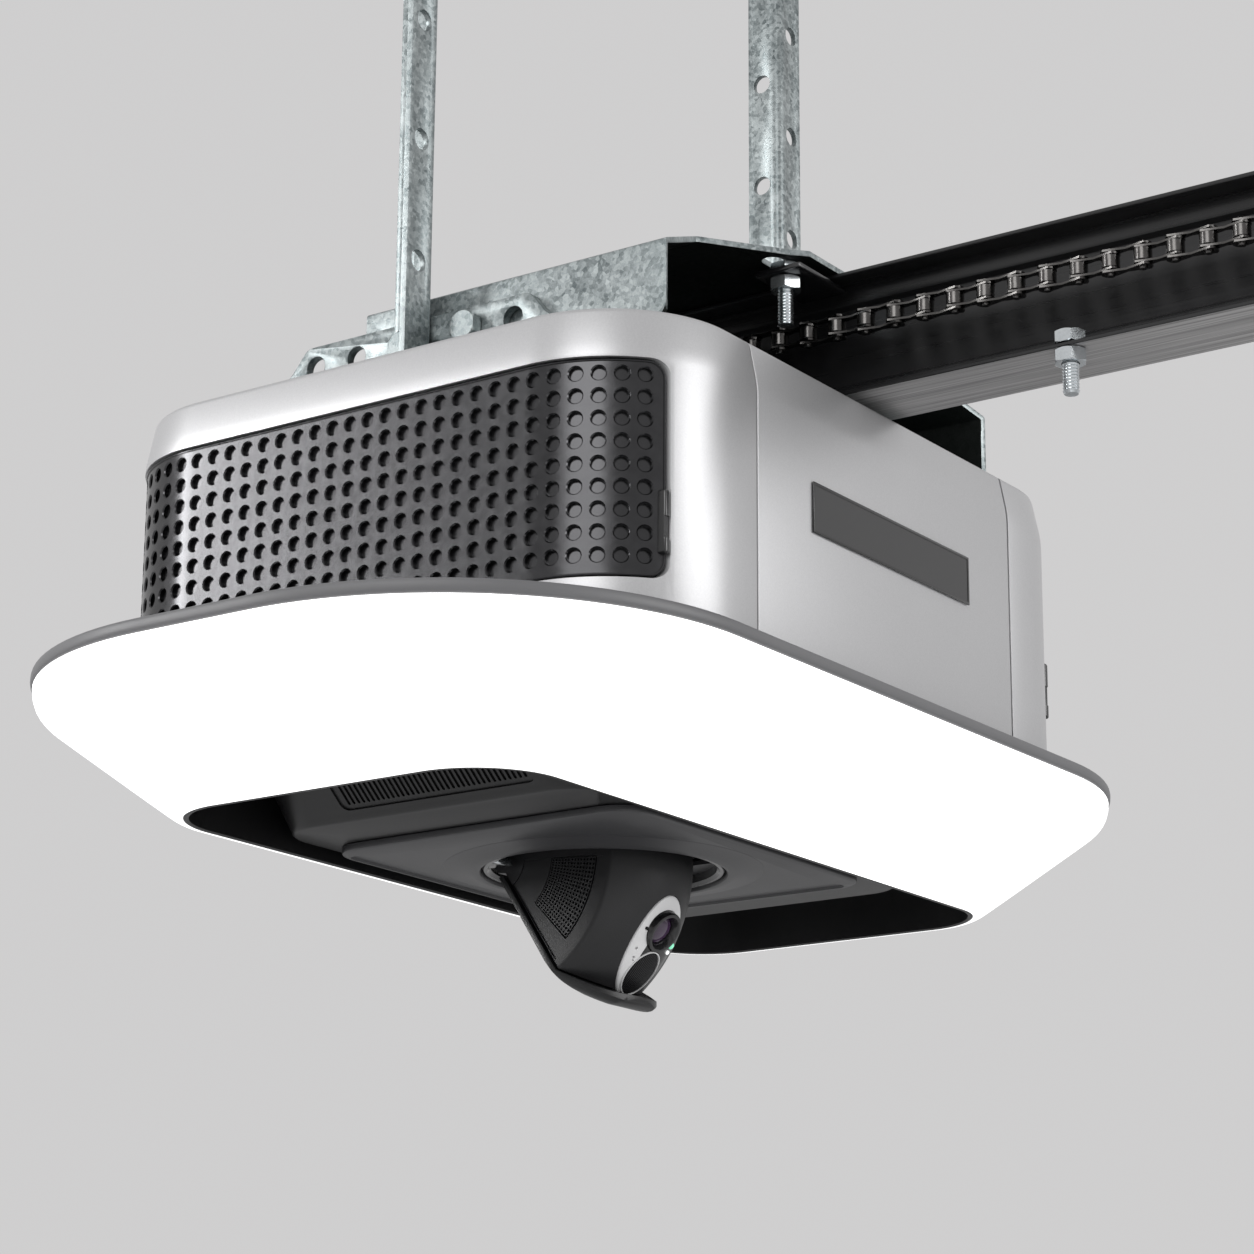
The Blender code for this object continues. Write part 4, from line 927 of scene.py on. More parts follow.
LINER_SLICES, LINER_MARGIN = 60, 4.0
LINER_HALF, LINER_FRONT, LINER_BACK = 37.0, -1.95, -2.6
liner_corners = ((-1, LINER_BACK), (1, LINER_BACK), (1, LINER_FRONT), (-1, LINER_FRONT))
for name, side in (("left", -1), ("right", 1)):
    grille = copied(flat_grille, f"{name}_perforated_grille")
    for vertex in grille.data.vertices:
        vertex.co = wrapped(*vertex.co, side)
    smooth(turned_out(grille), 30)
    fitted(grille, f"{name}_door", "black_plastic", GRILLE_COAT, f"{name}_grille")
    slices = []
    for k in range(LINER_SLICES + 1):
        u = (HALF_LONG - LINER_MARGIN) * (2 * k / LINER_SLICES - 1)
        slices.append([wrapped(u, end * LINER_HALF, depth, side) for end, depth in liner_corners])
    liner = skin(f"{name}_grille_liner", slices)
    fitted(smooth(liner, 30), f"{name}_door", "black_plastic", LINER_METAL)
    tab = latch_box(f"{name}_latch_tab", side, 0.0, 0.9)
    x = side * LATCH_X
    cut(tab, box("tab_nick", (x - 4, LATCH_Y - 2, -84), (x + 4, LATCH_Y - 0.5, -76), 0.3))
    fitted(smooth(tab), f"{name}_door", "black_plastic", GLOSS_BLACK)
bpy.data.objects.remove(flat_grille, do_unlink=True)

# %% [markdown]
# ## The lamp: tray, diffuser and light board
# The lamp is a wide ring. Its grey tray closes it on top, and a white skin slopes inwards from the rim to the
# opening, with wide corners outside and tight ones inside. The profile is drawn with a few points and then
# softened: cutting each corner twice turns a bent line into a curve, as sanding would.

# %% Lamp outlines
RIM_X, RIM_Y, RIM_CORNER = 239.0, 143.0, 118.0
RING_RUN, RING_RUN_LENGTHWISE, LIP_CORNER = 67.0, 63.0, 33.0
TRAY_TOP = -113.0
RIM_BOTTOM = -118.0
LIP_Z = -162.7


def lamp_outline(inset, z, steps=28):
    """The lamp's plan, drawn in by the inset, its corners growing tighter on the way."""
    share = inset / RING_RUN
    corner = RIM_CORNER - (RIM_CORNER - LIP_CORNER) * share
    return ring(rounded(RIM_X - inset, RIM_Y - RING_RUN_LENGTHWISE * share, corner, steps), z)


def softened(points, times=2):
    """Cut the corners of an open line, keeping its two ends."""
    for _ in range(times):
        line = [points[0]]
        for (ax, az), (bx, bz) in zip(points, points[1:]):
            line += [(ax + (bx - ax) * share, az + (bz - az) * share) for share in (0.25, 0.75)]
        points = line + [points[-1]]
    return points


rim_line = [(3.4, TRAY_TOP), (0.6, TRAY_TOP), (0.0, -115.5), (0.6, RIM_BOTTOM), (3.4, RIM_BOTTOM)]
tray_profile = softened(rim_line)
tray_profile += [(3.4, TRAY_TOP - 2.5), (61.6, TRAY_TOP - 2.5), (61.6, TRAY_TOP)]
tray = skin("lamp_tray", [lamp_outline(inset, z) for inset, z in tray_profile], closed_loop=True)
fitted(smooth(tray, 40), "head", "rim_grey", RIM_GREY, "light_tray")

# %% Diffuser and light board
skin_top = RIM_BOTTOM - 0.3
outer_line = [(1.2, skin_top), (1.5, -121.6), (3.6, -125.6), (9.0, -129.0)]
outer_line = softened(outer_line + [(59.0, -159.6), (63.6, -162.0), (67.0, LIP_Z)])
inner_line = [(67.0, -160.3), (59.0, -156.2), (9.0, -125.8), (6.4, -123.6), (4.0, skin_top)]
lamp_rows = [lamp_outline(i, z) for i, z in outer_line + inner_line]
diffuser = skin("lamp_diffuser", lamp_rows, closed_loop=True)
fitted(smooth(diffuser, 50), "head", "lamp_white", DIFFUSER, "light_diffuser")
refined("led_board", "led_light_board", "head", "circuit_board", BOARD, 0.1)

# %% [markdown]
# ## Underside pan
# Inside the lamp ring hangs a black pan: a flat plate, then sloping walls down to a floor round the camera.
# The slopes at the two ends carry a rounded field of fine cooling slots. The slots are thin boxes, laid into
# the plane of the slope by a matrix and cut all at once.

# %% Pan body
PAN_UNDER, PAN_FLOOR = -138.2, -158.5
PAN_STEPS = 14


def pan_outline(half_x, half_y, corner, z):
    """One ring of the sloping block, as (half width, half length, corner, height)."""
    return ring(rounded(half_x, half_y, corner, PAN_STEPS), z)


block_below = (
    (109.4, 73.2, 19, PAN_FLOOR), (110.6, 73.8, 20, PAN_FLOOR + 0.5), (111.6, 74.0, 20.5, -156.8),
    (130.6, 74.4, 28, -140.6), (132.0, 74.6, 29, -139.0), (134.6, 74.8, 30, PAN_UNDER),
)
frame_round = (
    (3.9, PAN_UNDER), (2.7, PAN_UNDER - 0.3), (2.7, LIP_Z + 0.4), (1.9, LIP_Z), (0.9, LIP_Z),
    (0.3, LIP_Z + 0.3), (0.3, -115.8), (2.7, -115.8), (2.7, -136.0),
)
block_above = ((131.8, 72.6, 28, -136.0), (106.6, 70.8, 17, PAN_FLOOR + 2.2))
pan_rings = [pan_outline(*row) for row in block_below]
pan_rings += [lamp_outline(RING_RUN + past, z, PAN_STEPS) for past, z in frame_round]
pan_rings += [pan_outline(*row) for row in block_above]
pan = skin("underside_pan", pan_rings)
bored(pan, 2, (0, 0), 48, -170, -145, 96)

# %% Cooling slots in the end slopes
SLOT_COUNT, SLOT_PITCH, SLOT_WIDTH = 36, 2.3, 1.25
SLOPE_FOOT, SLOPE_HEAD = Vector((111.6, 0, -156.8)), Vector((130.6, 0, -140.6))
SLOT_MIDDLE_Y = -8.0


def slope_matrix(side):
    """The plane of a slope: its first axis runs up the slope, its second along Y, its third outwards."""
    up = (SLOPE_HEAD - SLOPE_FOOT).normalized()
    out = Vector((up.z, 0, -up.x))
    middle = (SLOPE_FOOT + SLOPE_HEAD) / 2
    columns = [Vector((side * v.x, v.y, v.z)) for v in (up, Vector((0, 1, 0)), out)]
    matrix = Matrix(columns).transposed().to_4x4()
    matrix.translation = spot(side * middle.x, SLOT_MIDDLE_Y, middle.z)
    return matrix


def flat_prism(name, pairs, low, high):
    """A prism in its own plane, in metres, to be laid on a slope by a matrix."""
    return skin(name, [[Vector((x, y, z)) * MM for x, y in pairs] for z in (low, high)])


def laid(piece, matrix):
    """Move a flat piece onto its slope, and right it if the matrix mirrors it."""
    piece.data.transform(matrix)
    if matrix.determinant() < 0:
        piece.data.flip_normals()
    return piece


for side in (-1, 1):
    place = slope_matrix(side)
    field = flat_prism("slot_field", rounded(10.2, SLOT_COUNT * SLOT_PITCH / 2 + 2.6, 3.4, 8), -0.7, 3.0)
    cut(pan, laid(field, place))
    slots = []
    for k in range(SLOT_COUNT):
        y = (k - (SLOT_COUNT - 1) / 2) * SLOT_PITCH
        slots.append(flat_prism("slot", slot_outline(SLOT_WIDTH / 2, -7.6, 7.6, y, 3), -1.6, 1.0))
    cut(pan, laid(joined("slot_row", slots), place))
smooth(pan, 32)
fitted(pan, "head", "black_plastic", BLACK, "base_pan")

# %% [markdown]
# ## Camera plate
# A dark grey plate closes the floor round the camera turret. One shallow channel, bent like an L, is pressed
# into it, and its surface swells towards the turret like the lip of a crater. The swelling is a lathe ring
# that is welded on, and the channel is cut with a tool that narrows as it goes in.

# %% Camera plate
PLATE_TOP, PLATE_BOTTOM = -158.8, -161.4
TURRET_R = 47.0

plate_profile = [(0.0, PLATE_TOP), (0.0, PLATE_BOTTOM + 1.0), (0.3, PLATE_BOTTOM + 0.35), (1.0, PLATE_BOTTOM)]
plate = skin("camera_mount_plate", [pan_outline(82 - i, 71 - i, 15 - i, z) for i, z in plate_profile])
lip = [(62, -160.6), (62, -161.45), (57, -161.9), (52, -162.9)]
lip += [(49.4, -163.4), (48.0, -163.2), (47.6, -162.4), (47.6, -160.6)]
weld(plate, turned("crater", 2, (0, 0), lip, 96))
bored(plate, 2, (0, 0), 47.5, -170, -150, 96)


def channel_outline(half):
    """The L of the channel: along the back of the plate, then forwards down its right side."""
    back_y, side_x = 64.5, 75.5
    pairs = arc(half, 90, 270, 12, (-68, back_y)) + [(side_x - half, back_y - half)]
    pairs += arc(half, 180, 360, 12, (side_x, -57)) + arc(half + 1, 0, 90, 8, (side_x - 1, back_y - 1))
    return pairs


channel_rows = [ring(channel_outline(half), PLATE_BOTTOM + deep) for half, deep in ((4.9, -0.4), (4.1, 0.9))]
cut(plate, skin("channel", channel_rows))
smooth(plate, 30)
fitted(plate, "head", "charcoal_plastic", PLATE_GREY, "camera_plate")

# %% [markdown]
# ## Turret
# The turret is a ring that pans inside the plate. Two lugs inside it carry the pod's pin, and each has a
# bright clip in front of it. Two half-moon floors close the ring beside the pod.

# %% Turret ring and lugs
TURRET_WALL = 3.2
HINGE_Y, HINGE_Z = 31.0, -159.0
POD_HALF = 26.0
turret_low = PLATE_BOTTOM - 0.8
inner_r = TURRET_R - TURRET_WALL
ring_profile = [(TURRET_R, -151.2), (TURRET_R, turret_low + 0.7), (TURRET_R - 0.7, turret_low)]
ring_profile += [(inner_r + 1.2, turret_low), (inner_r, turret_low + 1.2), (inner_r, -151.2)]
rows = [[on_axis(2, z, u, v) for u, v in circle(r, 96)] for r, z in ring_profile]
turret = skin("turret_ring", rows, closed_loop=True)
for side in (-1, 1):
    low, high = span(side, POD_HALF + 0.6, TURRET_R)
    lug = box("lug", (low, HINGE_Y - 4.5, turret_low + 0.5), (high, HINGE_Y + 4.5, -151.2), 0.8)
    keep(lug, turned("lug_trim", 2, (0, 0), [(inner_r + 1, -170), (inner_r + 1, -140)], 96))
    weld(turret, lug)
bored(turret, 0, (HINGE_Y, HINGE_Z), 2.1, -60, 60)
smooth(turret, 32)
fitted(turret, "turret", "black_plastic", GLOSS_BLACK, "camera_turret")
refined("tilt_pin", "pod_tilt_pin", "turret", "bright_steel", BRIGHT_STEEL, 0.3)

moons = turned("turret_floor", 2, (0, 0), [(43.9, -157.6), (43.9, -155.8)], 96)
cut(moons, box("pod_slot", (-27.3, -60, -170), (27.3, 60, -140), 0))
fitted(smooth(moons, 32), "turret", "charcoal_plastic", PLATE_GREY)
clips = []
for side in (-1, 1):
    low, high = span(side, 28.2, 37.5)
    clips.append(box("clip", (low, 22.6, -162.3), (high, 25.4, -159.6), 0.5))
fitted(smooth(joined("pin_clips", clips), 32), "turret", "bright_steel", BRIGHT_STEEL)

# %% [markdown]
# ## Camera pod
# The pod swings down on the pin. Its front is round about the pin and swells towards the middle, like a
# barrel. It is skinned from side to side: each outline is the pod's profile at one distance from the middle,
# and the distances crowd together near the cheeks, where the surface turns fastest.

# %% Pod profile
CHEEK_R, NOSE_R = 53.0, 66.0
TOP_ANGLE, FACE_ANGLE = math.radians(24), math.radians(57)
TIP_R, TIP_ANGLE = 74.5, math.radians(47.6)
CHIN_ANGLE = math.atan2(
    TIP_R * math.sin(TIP_ANGLE) - CHEEK_R * math.sin(FACE_ANGLE),
    TIP_R * math.cos(TIP_ANGLE) - CHEEK_R * math.cos(FACE_ANGLE),
)


def pod_spot(radius, angle):
    """Y and Z of a point at a radius from the pin, the angle counted downwards from the front."""
    return HINGE_Y - radius * math.cos(angle), HINGE_Z - radius * math.sin(angle)


def pod_radius(x):
    """The radius of the pod's barrel at a distance from its middle."""
    swell = NOSE_R - CHEEK_R
    plan = (POD_HALF**2 + swell**2) / (2 * swell)
    return CHEEK_R + swell - plan + math.sqrt(max(plan * plan - x * x, 0))


def chin_end(radius):
    """The angle at which the front of this radius meets the chin."""
    knee_y, knee_z = pod_spot(CHEEK_R, FACE_ANGLE)
    ky, kz = knee_y - HINGE_Y, knee_z - HINGE_Z
    ay, az = -math.cos(CHIN_ANGLE), -math.sin(CHIN_ANGLE)
    middle = ky * ay + kz * az
    reach = -middle + math.sqrt(middle * middle + radius * radius - ky * ky - kz * kz)
    return math.atan2(-(kz + az * reach), -(ky + ay * reach))


def pod_outline(x, tuck=0.0):
    """The pod's side outline at a distance from its middle."""
    radius = pod_radius(x) - tuck
    end = chin_end(max(radius, CHEEK_R + 0.01))
    pairs = [pod_spot(radius, -TOP_ANGLE + (end + TOP_ANGLE) * k / 40) for k in range(41)]
    pairs += [pod_spot(CHEEK_R - 0.4, FACE_ANGLE), pod_spot(6, FACE_ANGLE), (HINGE_Y + 0.5, HINGE_Z - 4.6)]
    pairs += [(HINGE_Y + 3.4, HINGE_Z - 0.5), (HINGE_Y + 2.2, HINGE_Z + 2.8), (HINGE_Y - 8, HINGE_Z + 6)]
    return pairs


# %% Pod shell
pod_rows = []
for k in range(-20, 21):
    x = POD_HALF * math.sin(math.radians(4.5 * k))
    tuck = {20: 1.1, 19: 0.25}.get(abs(k), 0.0)
    pod_rows.append([on_axis(0, x, y, z) for y, z in pod_outline(x, tuck)])
pod = skin("pod_barrel", pod_rows)
keep(pod, turned("pod_plan", 2, (0, 0), [(42.0, -290), (42.0, 10)], 96))
bored(pod, 0, (HINGE_Y, HINGE_Z), 2.1, -60, 60)
print("pod shell:", len(pod.data.polygons), "faces")

# %% [markdown]
# ## Everything on the pod's face
# The lens, the motion window and their plate look along one line out of the pod. A small frame of three
# directions (across, rise and aim) places discs on that line, so each part is described by its half width,
# half length and depth.

# %% Face frame and pocket
FACE_AIM = math.radians(34.6)
aim = Vector((0, -math.cos(FACE_AIM), -math.sin(FACE_AIM)))
rise = Vector((0, -math.sin(FACE_AIM), math.cos(FACE_AIM)))
across = Vector((1, 0, 0))
FACE_REACH, FACE_RISE = 58.8, 2.9
face_middle = Vector((0, HINGE_Y, HINGE_Z)) + aim * FACE_REACH + rise * FACE_RISE
PLATE_HALF_W, PLATE_HALF_L = 12.5, 21.6
FACE_SHIFT = (-0.3, -1.7)


def on_face(u, v, depth):
    """A point of the face: across it, up it, and out along the aim."""
    return spot(*(face_middle + aim * depth + across * u + rise * v))


def oval(half_w, half_l, offset, sides):
    """Pairs (across, up) round an oval."""
    return [(offset[0] + c * half_w, offset[1] + s * half_l) for c, s in circle(1, sides)]


def face_disc(name, half_w, half_l, rows, offset=(0.0, 0.0), sides=48, loop=False):
    """An oval piece on the face: rows of (shrink, depth)."""
    rings = []
    for shrink, depth in rows:
        rings.append([on_face(u, v, depth) for u, v in oval(half_w - shrink, half_l - shrink, offset, sides)])
    return skin(name, rings, closed_loop=loop)


def face_bore(piece, half_w, half_l, offset, low=0, high=20, sides=64):
    """Cut an oval hole in a face piece."""
    return cut(piece, face_disc("face_bore", half_w, half_l, [(0, low), (0, high)], offset, sides))


def barrel_depth(u, v):
    """How far out along the aim the pod's barrel lies at this place on the face."""
    return math.sqrt(pod_radius(u) ** 2 - (FACE_RISE + v) ** 2) - FACE_REACH


def barrel_cap(name, half_w, half_l, proud, offset=(0.0, 0.0), sides=64):
    """An oval shell that follows the barrel and stands proud of it."""
    rows = [(1.0, -2.6), (1.0, proud - 0.35), (0.985, proud - 0.08), (0.955, proud)]
    rows += [(1.0 - 0.1 * k, proud) for k in range(1, 10)] + [(0.04, proud)]
    rings = []
    for share, lift in rows:
        pairs = oval(half_w * share, half_l * share, offset, sides)
        rings.append([on_face(u, v, barrel_depth(u, v) + lift) for u, v in pairs])
    return skin(name, rings)


LENS_AT, WINDOW_AT = 6.2, -12.0
LENS_R, WINDOW_W, WINDOW_L = 8.4, 7.6, 9.5
face_bore(pod, PLATE_HALF_W + 0.3, PLATE_HALF_L + 0.3, FACE_SHIFT, 1.6, 30)

# %% Face plate and its dark inlay
HOLE_GAP = 0.25


def face_holes(piece):
    """Bore the lens and window holes, which both face pieces share."""
    face_bore(piece, LENS_R + HOLE_GAP, LENS_R + HOLE_GAP, (0, LENS_AT))
    return face_bore(piece, WINDOW_W + HOLE_GAP, WINDOW_L + HOLE_GAP, (0, WINDOW_AT))


INLAY = (11.0, 20.6)
INLAY_AT = (4.6, -7.3)
face = barrel_cap("face_plate_white", PLATE_HALF_W, PLATE_HALF_L, 0.35, FACE_SHIFT)
face_holes(face_bore(face, *INLAY, INLAY_AT, -6, 14, 60))
for u, v, r in ((-9.2, 5.6, 0.85), (-9.6, -2.7, 0.6), (-8.7, -6.4, 0.55), (-8.3, -7.6, 0.45)):
    face_bore(face, r, r, (u, v), 3.0, 12, 16)
fitted(smooth(face, 35), "pod", "lamp_white", WHITE_PLASTIC, "face_plate")

dark = barrel_cap("face_dark_inlay", INLAY[0] - 0.15, INLAY[1] - 0.15, 0.3, INLAY_AT)
trim = face_disc("trim", PLATE_HALF_W - 0.1, PLATE_HALF_L - 0.1, [(0, 0), (0, 20)], FACE_SHIFT, 64)
keep(dark, trim)
face_holes(dark)
fitted(smooth(dark, 35), "pod", "black_plastic", GLOSS_BLACK)

# %% Lens, its ring, the motion window and two lights
ring_rows = [(0, 2.4), (0, 7.3), (0.25, 7.9), (0.8, 8.1), (1.5, 8.0)]
ring_rows += [(2.2, 7.0), (2.5, 6.2), (2.9, 5.4), (2.9, 2.4)]
lens_ring = face_disc("lens_bezel", LENS_R, LENS_R, ring_rows, (0, LENS_AT), 64, True)
fitted(smooth(lens_ring, 40), "pod", "black_plastic", GLOSS_BLACK, "lens_ring")
glass_rows = [(0, 2.4), (0, 5.0), (0.8, 5.5), (1.8, 5.9), (3.0, 6.2), (4.2, 6.35), (5.2, 6.4)]
glass = face_disc("lens_dome", 5.5, 5.5, glass_rows, (0, LENS_AT), 48)
fitted(smooth(glass, 60), "pod", "lens_glass", LENS_GLASS, "camera_lens")

pane = barrel_cap("motion_pane", WINDOW_W, WINDOW_L, 0.55, (0, WINDOW_AT), 48)
grooves = []
for k in range(15):
    u = (k - 7) * 0.95
    rows = []
    for v in range(-10, 11, 2):
        depth = barrel_depth(u, WINDOW_AT + v) + 0.25
        corners = ((-0.22, 0), (0.22, 0), (0.22, 3), (-0.22, 3))
        rows.append([on_face(u + w, WINDOW_AT + v, depth + d) for w, d in corners])
    grooves.append(skin("groove", rows))
cut(pane, joined("pane_grooves", grooves))
fitted(smooth(pane, 30), "pod", "charcoal_plastic", CHARCOAL, "motion_window")


def oval_bead(name, half_w, half_l, at, wire, lift):
    """A thin raised line round an oval, following the barrel."""
    rings = []
    for shrink, depth in ((0, 0), (0, 1.0), (wire, 1.0), (wire, 0)):
        pairs = oval(half_w - shrink, half_l - shrink, (0, at), 64)
        rings.append([on_face(u, v, barrel_depth(u, v) + lift + depth) for u, v in pairs])
    return skin(name, rings, closed_loop=True)


pane_rim = oval_bead("motion_pane_rim", WINDOW_W + 0.55, WINDOW_L + 0.55, WINDOW_AT, 0.35, -0.2)
fitted(smooth(pane_rim, 30), "pod", "lamp_white", WHITE_PLASTIC)
for name, u, v, r, glow in (
    ("green_status_light", 9.9, 1.6, 1.3, GREEN_GLOW),
    ("white_status_light", 9.2, -1.2, 0.8, WHITE_GLOW),
):
    deep = barrel_depth(u, v)
    bead_rows = [(0, deep - 1), (0, deep + 0.8), (0.2, deep + 1.0), (r * 0.6, deep + 1.15)]
    bead = face_disc(name, r, r, bead_rows, (u, v), 16)
    fitted(smooth(bead, 60), "pod", "lamp_white", glow)

# %% [markdown]
# ## Speaker grille in the cheek
# The cheek of the pod carries a mesh in the shape of a slice of a ring. A flat grid of small square holes is
# made in the same way as the big grille and then bent: along the slice becomes an angle about the pin, and
# across it becomes a radius. The cheek gets a shallow step round the mesh.

# %% Cheek panel and speaker mesh
SPEAKER_IN, SPEAKER_OUT = 25.0, 46.0
SPEAKER_START, SPEAKER_END = 184.0, 226.0
SPEAKER_PITCH, SPEAKER_COLUMNS, SPEAKER_ROWS = 1.45, 19, 14
HINGE = (HINGE_Y, HINGE_Z)
pocket = arc(SPEAKER_OUT + 0.3, SPEAKER_START - 0.6, SPEAKER_END + 0.6, 24, HINGE)
pocket += arc(SPEAKER_IN - 0.3, SPEAKER_END + 0.6, SPEAKER_START - 0.6, 24, HINGE)
cut(pod, prism("speaker_pocket", pocket, 0, -31, -POD_HALF + 1.5))
for side in (-1, 1):
    step = arc(49.4, 184, 236.2, 30, HINGE) + arc(12, 236.2, 184, 12, HINGE)
    cut(pod, prism("cheek_step", step, 0, *span(side, POD_HALF - 0.5, 31)))
smooth(pod, 28)
fitted(pod, "pod", "charcoal_plastic", CHARCOAL, "pod_shell")

cell = grille_cell(8, [(None, -0.9), (0.42, -0.9), (0.5, 0.0), (None, 0.0)], SPEAKER_PITCH)
repeated(cell, SPEAKER_PITCH, SPEAKER_COLUMNS, SPEAKER_ROWS)
only(cell)
bpy.ops.object.mode_set(mode="EDIT")
bpy.ops.mesh.select_all(action="SELECT")
bpy.ops.mesh.remove_doubles(threshold=MERGE)
bpy.ops.mesh.select_all(action="DESELECT")
bpy.ops.mesh.select_non_manifold(extend=False)
bpy.ops.mesh.bridge_edge_loops()
bpy.ops.object.mode_set(mode="OBJECT")
run, height = SPEAKER_COLUMNS * SPEAKER_PITCH, SPEAKER_ROWS * SPEAKER_PITCH
for vertex in cell.data.vertices:
    turn = math.radians(SPEAKER_START + (SPEAKER_END - SPEAKER_START) * (0.5 + vertex.co.x / run * 0.985))
    radius = SPEAKER_IN + (SPEAKER_OUT - SPEAKER_IN) * (0.5 + vertex.co.y / height * 0.98)
    y, z = HINGE_Y + radius * math.cos(turn), HINGE_Z + radius * math.sin(turn)
    vertex.co = spot(-POD_HALF + 0.3 - vertex.co.z, y, z)
turned_out(cell)
cell.name = "speaker_grille"
fitted(smooth(cell, 30), "pod", "charcoal_plastic", CHARCOAL, "speaker_mesh")

# %% [markdown]
# ## Pod lid
# A black lid covers the flat side and the chin, stands a little proud of the cheeks, and ends in a round
# tongue. It is a bent strip, kept only inside a dish that follows its plan outline, so its rim is rounded.

# %% Lid
LID_UPPER = ((0.6, 0.6), (0.82, 0.1), (0.94, -0.7), (0.985, -1.2))
LID_LOWER = (
    (0.06, 3.3), (0.15, 4.1), (0.27, 4.9), (0.4, 5.6), (0.54, 6.0), (0.66, 5.9),
    (0.77, 5.2), (0.86, 4.1), (0.93, 2.7), (0.975, 1.2), (1.0, -0.4),
)


def lid_line(drop, chin_places):
    """One side of the lid's strip: down the flat back, round the knee, then out along the chin."""
    knee, tip, start = pod_spot(CHEEK_R, FACE_ANGLE), pod_spot(TIP_R, TIP_ANGLE), pod_spot(6.5, FACE_ANGLE)
    square = (math.sin(FACE_ANGLE), -math.cos(FACE_ANGLE))
    chin = (math.sin(CHIN_ANGLE), -math.cos(CHIN_ANGLE))
    pairs = [tuple(p + q * drop for p, q in zip(start, square))]
    if drop > 1:
        pairs.append(tuple(k + (s - k) * 0.12 + q * drop for k, s, q in zip(knee, start, square)))
    else:
        share = drop / (1 + math.cos(FACE_ANGLE - CHIN_ANGLE))
        pairs.append(tuple(k + (p + q) * share for k, p, q in zip(knee, square, chin)))
    for along, deep in chin_places:
        pairs.append(tuple(k + (t - k) * along + q * deep for k, t, q in zip(knee, tip, chin)))
    return pairs


upper, lower = lid_line(0.6, LID_UPPER), lid_line(2.8, LID_LOWER)
half_lid = POD_HALF + 1.5
lid = prism("pod_lid_tongue", upper + lower[::-1], 0, -half_lid, half_lid)
tip_y = pod_spot(TIP_R, TIP_ANGLE)[0]
knee_y, knee_z = pod_spot(CHEEK_R, FACE_ANGLE)


def lid_dish(inset, fall):
    """The lid's plan outline, drawn in by the inset and lying this far below the chin's plane."""
    half = half_lid - inset
    pairs = [(half, 100), (-half, 100)] + arc(half, 180, 360, 40, (0, tip_y + half_lid))
    return [spot(x, y, knee_z + (y - knee_y) * math.tan(CHIN_ANGLE) - fall) for x, y in pairs]


dish_rows = ((0, -200), (0, 2.0), (0.5, 2.9), (1.6, 4.2), (3.4, 5.4), (6.0, 6.3), (9.5, 6.9))
keep(lid, skin("lid_dish", [lid_dish(inset, fall) for inset, fall in dish_rows]))
eased(lid, 0.4, 40, 3)
fitted(smooth(lid, 35), "pod", "black_plastic", BLACK, "pod_lid")

# %% [markdown]
# ## Rail
# The rail is folded sheet with a wide flange top and bottom and a narrow web, so that a chain can run along
# each side of the web. Its outline is symmetrical: only the right half is drawn, then mirrored in code.

# %% Rail
RAIL_FRONT, RAIL_REAR = -400.0, 10.0
RAIL_BOLT = (-12.4, -214.0)
BOLT_R, BOLT_CLEAR = 3.1, 0.5


def both_sides(pairs):
    """An outline whose right half is given, closed by its mirror image."""
    return pairs + [(-u, v) for u, v in reversed(pairs)]


rail_right = [(17.0, 3.4), (17.5, 3.7), (17.5, 4.7), (17.2, 5.0), (6.2, 5.0), (5.0, 5.8), (5.0, 10.8)]
rail_right += [(4.6, 11.6), (2.3, 12.9), (2.0, 13.6), (2.0, 42.7), (2.3, 43.4), (4.6, 44.7), (5.0, 45.5)]
rail_right += [(5.0, 50.5), (6.2, 51.3), (17.2, 51.3), (17.5, 51.6), (17.5, 52.6), (17.0, 52.9)]
rail = prism("chain_rail", both_sides(rail_right), 1, RAIL_FRONT, RAIL_REAR)
bored(rail, 2, RAIL_BOLT, BOLT_R + BOLT_CLEAR, -20, 30)
fitted(smooth(rail, 30), "head", "rail_black", RAIL_PAINT, "rail")
refined("rail_saddle", "rail_saddle_block", "head", "galvanised_steel", ZINC, 0.3)

# %% [markdown]
# ## Roller chain
# A roller chain is two links repeated: an inner one with two plates and two rollers, and an outer one with
# two plates and two riveted pins. Each is modelled once, from a few dozen faces, at the origin. Copies are
# then laid along the chain's path, up one side of the rail, round the sprocket and back, and joined.

# %% One inner and one outer link
CHAIN_X, CHAIN_Z, SHAFT_Y = 16.6, 31.3, 35.0
LINKS = 72
CHAIN_RUN = 2 * (SHAFT_Y - RAIL_FRONT) + math.pi * CHAIN_X
LINK_PITCH = CHAIN_RUN / LINKS
PLATE_SHEET, PLATE_WAIST, PLATE_END = 0.8, 1.15, 3.6
ORIGIN_Z = STRAP_TOP


def link_plate(z):
    """A side plate: two round ends and a narrower middle, lying flat at height z."""
    half = LINK_PITCH / 2
    pairs = arc(PLATE_END, -60, 60, 4, (half, 0)) + [(0, PLATE_WAIST)]
    pairs += arc(PLATE_END, 120, 240, 4, (-half, 0)) + [(0, -PLATE_WAIST)]
    return prism("plate", pairs, 2, ORIGIN_Z + z - PLATE_SHEET / 2, ORIGIN_Z + z + PLATE_SHEET / 2)


def link_rod(x, radius, reach, cap):
    """A roller or a pin, standing upright, with its rims eased."""
    profile = [(radius - cap, -reach), (radius, -reach + cap), (radius, reach - cap), (radius - cap, reach)]
    return turned("rod", 2, (x, 0), [(r, ORIGIN_Z + z) for r, z in profile], 12)


